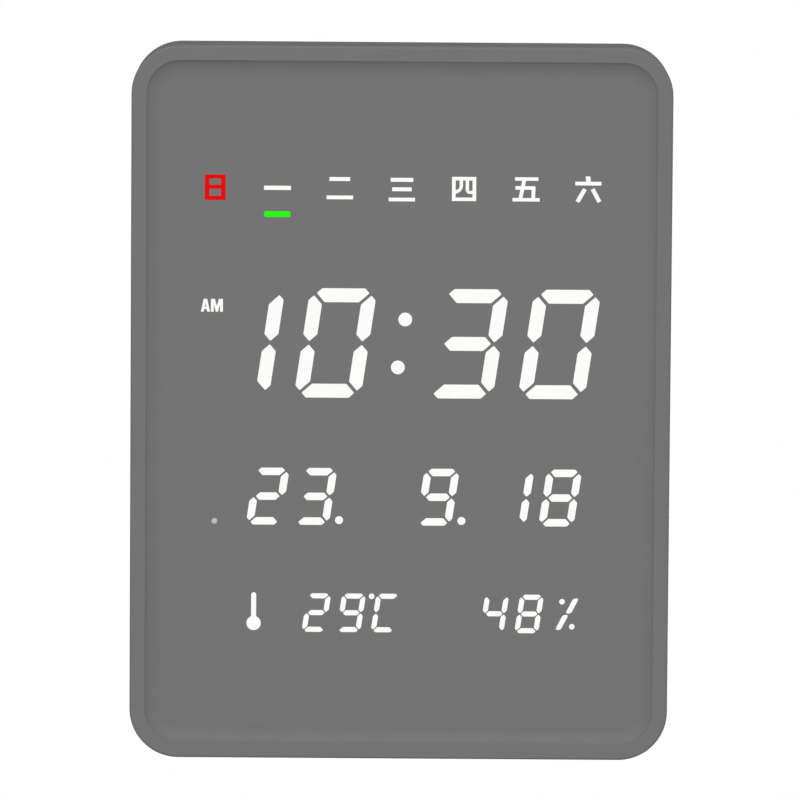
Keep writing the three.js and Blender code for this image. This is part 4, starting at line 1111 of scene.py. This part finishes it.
def rear_button(name):
    button = buttons[name]
    radius, flange = BUTTON_DIAMETER / 2, button.width / 2
    top, dish, dish_radius = button.back, button.back + BUTTON_DISH, BUTTON_DISH_DIAMETER / 2
    shoulder = BUTTON_RECESS + BUTTON_FLOOR + GAP
    crown = fillet(radius, top, -BUTTON_EDGE_RADIUS, BUTTON_EDGE_RADIUS, EDGE_STEPS)
    stem = [
        (radius, shoulder),
        (flange, shoulder),
        (flange, shoulder + BUTTON_FLANGE),
        (BUTTON_POST / 2, shoulder + BUTTON_FLANGE),
        (BUTTON_POST / 2, button.front),
    ]
    hollow = [(dish_radius - BUTTON_DISH, dish), (dish_radius, top + BUTTON_DISH / 4)]
    node = f"{name}_button"
    cap = turned(hollow + crown + stem, button.x, button.y)
    add_piece(f"{name}_cap", cap, button_plastic, node, [node])
    marks = []
    for loops in mark_outlines(name):
        placed = [moved(loop, button.x, button.y) for loop in loops]
        marks.append(plate(placed, dish - MARK_RISE, dish + MARK_RISE / 2))
    add_piece(f"{name}_mark", gathered(marks), white_plastic, node)


# Case screws: domed heads with a cross recess
def case_screw(number, screw):
    radius, shank = SCREW_HEAD_DIAMETER / 2, SCREW_SHANK_DIAMETER / 2
    seat = screw.back + SCREW_HEAD
    dome = [
        (radius * math.sin(math.pi / 4 + a / 2), screw.back + SCREW_DOME * (1 - math.cos(a)))
        for a in quarter(EDGE_STEPS)
    ]
    tip = [(shank, screw.front - shank), (shank / 2, screw.front)]
    mesh = turned(dome + [(radius, seat), (shank, seat), *tip])
    recess = [(0, screw.back - BITE), (-CROSS_TAPER, screw.back + CROSS_DEPTH)]
    sizes = [(CROSS_LENGTH, CROSS_WIDTH), (CROSS_WIDTH, CROSS_LENGTH)]
    arms = [moulded(grown_box(0, 0, *size, CROSS_CORNER), recess) for size in sizes]
    mesh = cut(mesh, *arms)
    turn = Matrix.Rotation(number * SCREW_TURN, 4, "Z")
    mesh.transform(Matrix.Translation((screw.x, screw.y, 0)) @ turn)
    add_piece(f"back_screw_{number}", mesh, steel, replaces=[f"case_screw_{number}"])


# Battery bay: lid on its hinge barrel, cell, holder ring and contact clip
def grip_lines(half, x, first_y, back):
    """Cutters for a row of shallow grooves that run across a surface at the level given."""
    cutters = [barrel(GRIP_RADIUS, half, GRIP_RADIUS / 2) for _ in range(GRIP_LINES)]
    level = back - GRIP_RADIUS + GRIP_DEPTH
    return [across(groove, x, first_y + line * GRIP_PITCH, level) for line, groove in enumerate(cutters)]


def battery_lid():
    half = DOOR_WIDTH / 2
    front = door.back + DOOR_THICKNESS

    def outline(grow):
        corners = bar(cell.x - half - grow, cell.x + half + grow, door_axis_y + SHARP, door.high + grow)
        return eased(corners, SHARP, SHARP, LID_CORNER, LID_CORNER)

    lid = rounded_plate(outline, door.back, front, LID_EDGE, LID_EDGE)
    pivot = cell.x, door_axis_y, door_axis_z
    knuckle = across(barrel(DOOR_BARREL_RADIUS - SHARP, half - SHARP, LID_EDGE), *pivot)
    trunnions = across(barrel(DOOR_TRUNNION / 2, door.width / 2, LID_EDGE), *pivot)
    rib_side = DOOR_WIDTH - 2 * LID_RIB_BORDER
    rib = grown_box(cell.x, cell.y, rib_side, rib_side, LID_CORNER + LID_RIB)
    rib_hollow = prism(rib(-LID_RIB), front - 2 * BITE, front + 2 * LID_RIB_RISE)
    stiffener = cut(prism(rib(0), front - BITE, front + LID_RIB_RISE), rib_hollow)
    grip_low = door.high - LID_GRIP_DROP - (GRIP_LINES - 1) * GRIP_PITCH
    grooves = grip_lines(LID_GRIP_WIDTH / 2, cell.x, grip_low, door.back)
    mesh = cut(joined(lid, knuckle, trunnions, stiffener), *grooves)
    node = "battery_door"
    add_piece("battery_lid", mesh, back_plastic, node, [node], CRISP_ANGLE)


def backup_cell():
    radius = cell.width / 2
    can = [
        (radius - 3 * CELL_BEVEL, cell.back),
        (radius - CELL_BEVEL, cell.back + CELL_BEVEL / 2),
        (radius, cell.back + 2 * CELL_BEVEL),
        (radius, cell.front - CELL_BEVEL),
        (radius - CELL_BEVEL, cell.front),
    ]
    arms = [(CELL_MARK, CELL_MARK_STROKE), (CELL_MARK_STROKE, CELL_MARK)]
    plus = [rounded_box(cell.x, cell.y - CELL_MARK, *size, SHARP) for size in arms]
    mark = [prism(outline, cell.back - BITE, cell.back + CELL_MARK_DEPTH) for outline in plus]
    mesh = cut(turned(can, cell.x, cell.y, sides=2 * ROUND_SIDES), *mark)
    add_piece("backup_cell", mesh, steel, replaces=["coin_cell"])


def cell_holder():
    holder = span("battery_holder")
    outer, inner = holder.width / 2, cell.width / 2 + GAP
    ring = [
        (inner, cell.front + GAP),
        (inner, holder.back + HOLDER_EDGE),
        (inner + HOLDER_EDGE, holder.back),
        (outer - HOLDER_EDGE, holder.back),
        (outer, holder.back + HOLDER_EDGE),
        (outer, holder.front),
    ]
    mesh = turned(ring, cell.x, cell.y, sides=2 * ROUND_SIDES)
    add_piece("cell_holder", mesh, black_plastic, replaces=["battery_holder"])


def contact_clip():
    clip = span("battery_clip")

    def tongue(grow):
        corners = bar(clip.left - grow, clip.right + grow, clip.low - grow, clip.high)
        return eased(corners, CLIP_CORNER, CLIP_CORNER, SHARP, SHARP)

    reach = rounded_plate(tongue, clip.back, clip.back + CLIP_SHEET, CLIP_EDGE, CLIP_EDGE)
    upright = prism(bar(clip.left, clip.right, clip.high - CLIP_SHEET, clip.high), clip.back, clip.front)
    add_piece("contact_clip", joined(reach, upright), steel, replaces=["battery_clip"])


# Power inlet: moulded body with a round snout, bore and centre pin
def power_inlet():
    body_low = bezel.low + WALL + GAP
    outline = grown_box(jack.x, (body_low + jack.high) / 2, jack.width, jack.high - body_low, JACK_CORNER)
    body = rounded_plate(outline, jack.back, jack.front, JACK_EDGE, JACK_EDGE)
    snout, bore, pin = JACK_SNOUT / 2, JACK_BORE / 2, JACK_PIN / 2
    neck = body_low - jack.low
    depth = neck + JACK_BORE_DEPTH
    collar = turned([(snout - JACK_EDGE, 0), (snout, JACK_EDGE), (snout, neck + BITE)])
    hollow = turned([(bore + 2 * JACK_EDGE, -BITE), (bore, JACK_EDGE), (bore, depth)])
    middle = turned([(pin / 3, JACK_PIN_SET_BACK), (pin, JACK_PIN_SET_BACK + pin), (pin, depth)])
    mesh = cut(joined(body, upward(collar, jack.low)), upward(hollow, jack.low))
    add_piece("inlet_body", mesh, black_plastic, replaces=["dc_jack"])
    add_piece("inlet_pin", upward(middle, jack.low), steel, replaces=["dc_jack"])


# Stand: tapered leg with a hollow, ribbed inside and a grooved grip, and its ribbed rubber foot
def leg_outline(border, top):
    tip, root = LEG_TIP_WIDTH / 2 - border, leg.right - border
    low = leg.low + border
    corners = [(-tip, low), (tip, low), (root, top), (-root, top)]
    return eased(corners, LEG_CORNER, LEG_CORNER, SHARP, SHARP)


def leg_cuts():
    hollow = prism(leg_outline(LEG_HOLLOW_BORDER, hollow_top), hollow_floor, leg_front + BITE)
    bore = across(rod(PIN_HOLE, leg.right + BITE), 0, leg_axis_y, leg_axis_z)
    field_top = leg_axis_y - LEG_BARREL_RADIUS - LEG_FIELD_BORDER
    field_outline = lambda grow: leg_outline(LEG_FIELD_BORDER - grow, field_top + grow)
    field = sunk(field_outline, LEG_FIELD_DEPTH, LEG_FIELD_DEPTH / 2, LEG_FIELD_DEPTH / 2)
    field.transform(Matrix.Translation((0, 0, leg.back)))
    grooves = grip_lines(LEG_GRIP_WIDTH / 2, 0, leg.low + LEG_GRIP_RISE, leg.back + LEG_FIELD_DEPTH)
    return [hollow, bore, field, *grooves]


def leg_ribs():
    """One rib along the leg's hollow and a few across it."""
    half = LEG_TIP_WIDTH / 2 - LEG_HOLLOW_BORDER / 2
    outlines = [bar(-LEG_RIB / 2, LEG_RIB / 2, leg.low + LEG_HOLLOW_BORDER / 2, hollow_top + BITE)]
    for step in range(1, LEG_RIBS + 1):
        y = leg.low + (hollow_top - leg.low) * step / (LEG_RIBS + 1)
        outlines.append(bar(-half, half, y, y + LEG_RIB))
    return [prism(outline, hollow_floor - BITE, leg_front - LEG_RIB_DROP) for outline in outlines]


def stand_leg():
    slab_outline = lambda grow: leg_outline(-grow, leg_axis_y)
    slab = rounded_plate(slab_outline, leg.back, leg_front, LEG_EDGE, LEG_EDGE / 2)
    root = across(barrel(LEG_BARREL_RADIUS, leg.right, LEG_EDGE), 0, leg_axis_y, leg_axis_z)
    mesh = joined(cut(joined(slab, root), *leg_cuts()), *leg_ribs())
    add_piece("leg", mesh, back_plastic, "stand", ["stand_leg"], CRISP_ANGLE)


def stand_foot():
    foot = span("stand_foot_pad")
    bond = leg.low + BITE
    outline = grown_box(foot.x, (foot.low + bond) / 2, foot.width, bond - foot.low, 2 * FOOT_EDGE)
    block = rounded_plate(outline, foot.back, foot.front, FOOT_EDGE, FOOT_EDGE)
    treads = []
    for tread in range(1, FOOT_TREADS + 1):
        x = foot.left + foot.width * tread / (FOOT_TREADS + 1)
        groove = circle(x, foot.low, FOOT_TREAD, ROUND_SIDES // 2)
        treads.append(prism(groove, foot.back - BITE, foot.front + BITE))
    add_piece("leg_foot", cut(block, *treads), pad_rubber, "stand", ["stand_foot_pad"])


case_front()
face_film()
time_signs()
date_signs()
climate_signs()
weekday_signs()
am_sign()
sensor_lens()
case_back()
for button_name in BUTTON_NAMES:
    rear_button(button_name)
for screw_number, screw_place in enumerate(case_screws, 1):
    case_screw(screw_number, screw_place)
battery_lid()
backup_cell()
cell_holder()
contact_clip()
power_inlet()
stand_leg()
stand_foot()

# Finishes of the frame's own pieces
finishes = [
    (case_plastic, ["face_panel"]),
    (clear_plastic, ["light_sensor"]),
    (foam_tape, ["face_tape", "ribbon_cable"]),
    (board_resin, ["display_board", "control_board"]),
    (black_plastic, ["clock_chip", "buzzer", *(f"{name}_switch" for name in BUTTON_NAMES)]),
    (white_plastic, ["climate_sensor", "control_header", "display_header"]),
    (steel, ["crystal_can", "capacitor", "stand_pin", *screw_names("display"), *screw_names("board")]),
]
finish_of = {name: material for material, names in finishes for name in names}
for name, node in frame["nodes"].items():
    if not node.hide_render:
        node.material_slots[0].material = finish_of.get(name, lamp_plastic)


# Camera
CAMERA_DISTANCE = 3.2
CAMERA_AZIMUTH = math.radians(-0.128)
CAMERA_ELEVATION = math.radians(6.145)
CAMERA_ROLL = math.radians(0.4045)
CAMERA_LENS = 353.47
SENSOR_WIDTH = 36
AIM_RIGHT = -0.165
AIM_UP = 1.786


def add_camera():
    camera = bpy.data.objects.new("camera", bpy.data.cameras.new("camera"))
    scene.collection.objects.link(camera)
    camera.data.sensor_width = SENSOR_WIDTH
    camera.data.lens = CAMERA_LENS
    across_view = math.cos(CAMERA_ELEVATION)
    back = Vector((
        math.sin(CAMERA_AZIMUTH) * across_view,
        -math.cos(CAMERA_AZIMUTH) * across_view,
        math.sin(CAMERA_ELEVATION),
    ))
    middle = Vector((0, cad_low.y, 0))
    camera.location = middle + back * CAMERA_DISTANCE
    aim = middle + Vector((AIM_RIGHT, 0, AIM_UP)) * MM
    turn = (aim - camera.location).to_track_quat("-Z", "Y") @ Quaternion((0, 0, 1), CAMERA_ROLL)
    camera.rotation_mode = "QUATERNION"
    camera.rotation_quaternion = turn
    scene.camera = camera


# Studio, in metres: white surroundings that only the camera sees, a soft sky and area lights in watts
FLOOR_DROP = 4
FLOOR_SIDE = 6
FLOOR_CORNER = 1
DOME_RADIUS = 7
DOME_STEPS = 24
SKY_LEAN = (0, -0.94, 0.34)
SKY_DIM = 0.11
SKY_BRIGHT = 0.9
Light = namedtuple("Light", "size power place")
KEY_LIGHT = Light((4.4, 3.4), 112, (-0.7, -4.8, 4.2))
BACK_LIGHT = Light((0.6, 0.6), 70, (1, 2.2, -0.15))
BACK_CARD = Light((2, 1.8), 14, (1.5, 1.8, -0.7))


def glowing(name):
    made = bpy.data.materials.new(name)
    made.use_nodes = True
    made.node_tree.nodes.clear()
    glow = add_node(made, "Emission").outputs["Emission"]
    add_node(made, "OutputMaterial", {"Surface": glow})
    return made


def add_stage(name, mesh):
    piece = bpy.data.objects.new(name, mesh)
    scene.collection.objects.link(piece)
    mesh.materials.append(glowing(name))
    piece.visible_diffuse = False
    piece.visible_glossy = False
    piece.visible_transmission = False
    piece.visible_shadow = False


def add_light(name, wanted):
    """An area light that looks at the middle of the clock's back."""
    lamp = bpy.data.lights.new(name, "AREA")
    lamp.shape = "RECTANGLE"
    lamp.size, lamp.size_y = wanted.size
    lamp.energy = wanted.power
    light = bpy.data.objects.new(name, lamp)
    light.location = wanted.place
    light.rotation_mode = "QUATERNION"
    light.rotation_quaternion = (-light.location).to_track_quat("-Z", "Y")
    light.visible_camera = False
    scene.collection.objects.link(light)
    return light


def add_sky():
    """A white sky whose strength rises evenly towards its lean."""
    world = bpy.data.worlds.new("studio")
    world.use_nodes = True
    place = add_node(world, "TexCoord").outputs["Generated"]
    along = add_node(world, "VectorMath", {0: place, 1: Vector(SKY_LEAN).normalized()})
    along.operation = "DOT_PRODUCT"
    strength = mapped(world, along.outputs["Value"], -1, 1, SKY_DIM, SKY_BRIGHT)
    sky = world.node_tree.nodes["Background"]
    set_inputs(world, sky, {"Color": (1, 1, 1, 1), "Strength": strength})
    scene.world = world


def add_studio():
    low = cad_low.z - FLOOR_DROP
    floor = at_level(rounded_box(0, 0, FLOOR_SIDE, FLOOR_SIDE, FLOOR_CORNER, CORNER_STEPS), low)
    add_stage("studio_floor", mesh_of(floor, [tuple(range(len(floor)))]))
    angles = [step / DOME_STEPS * math.pi for step in range(1, DOME_STEPS)]
    ball = [(DOME_RADIUS * math.sin(angle), -DOME_RADIUS * math.cos(angle)) for angle in angles]
    add_stage("studio_dome", turned(ball))
    add_sky()
    scene.view_settings.view_transform = "Standard"
    add_light("key", KEY_LIGHT)
    add_light("back", BACK_LIGHT).visible_glossy = False
    add_light("back_card", BACK_CARD).visible_diffuse = False


add_camera()
add_studio()
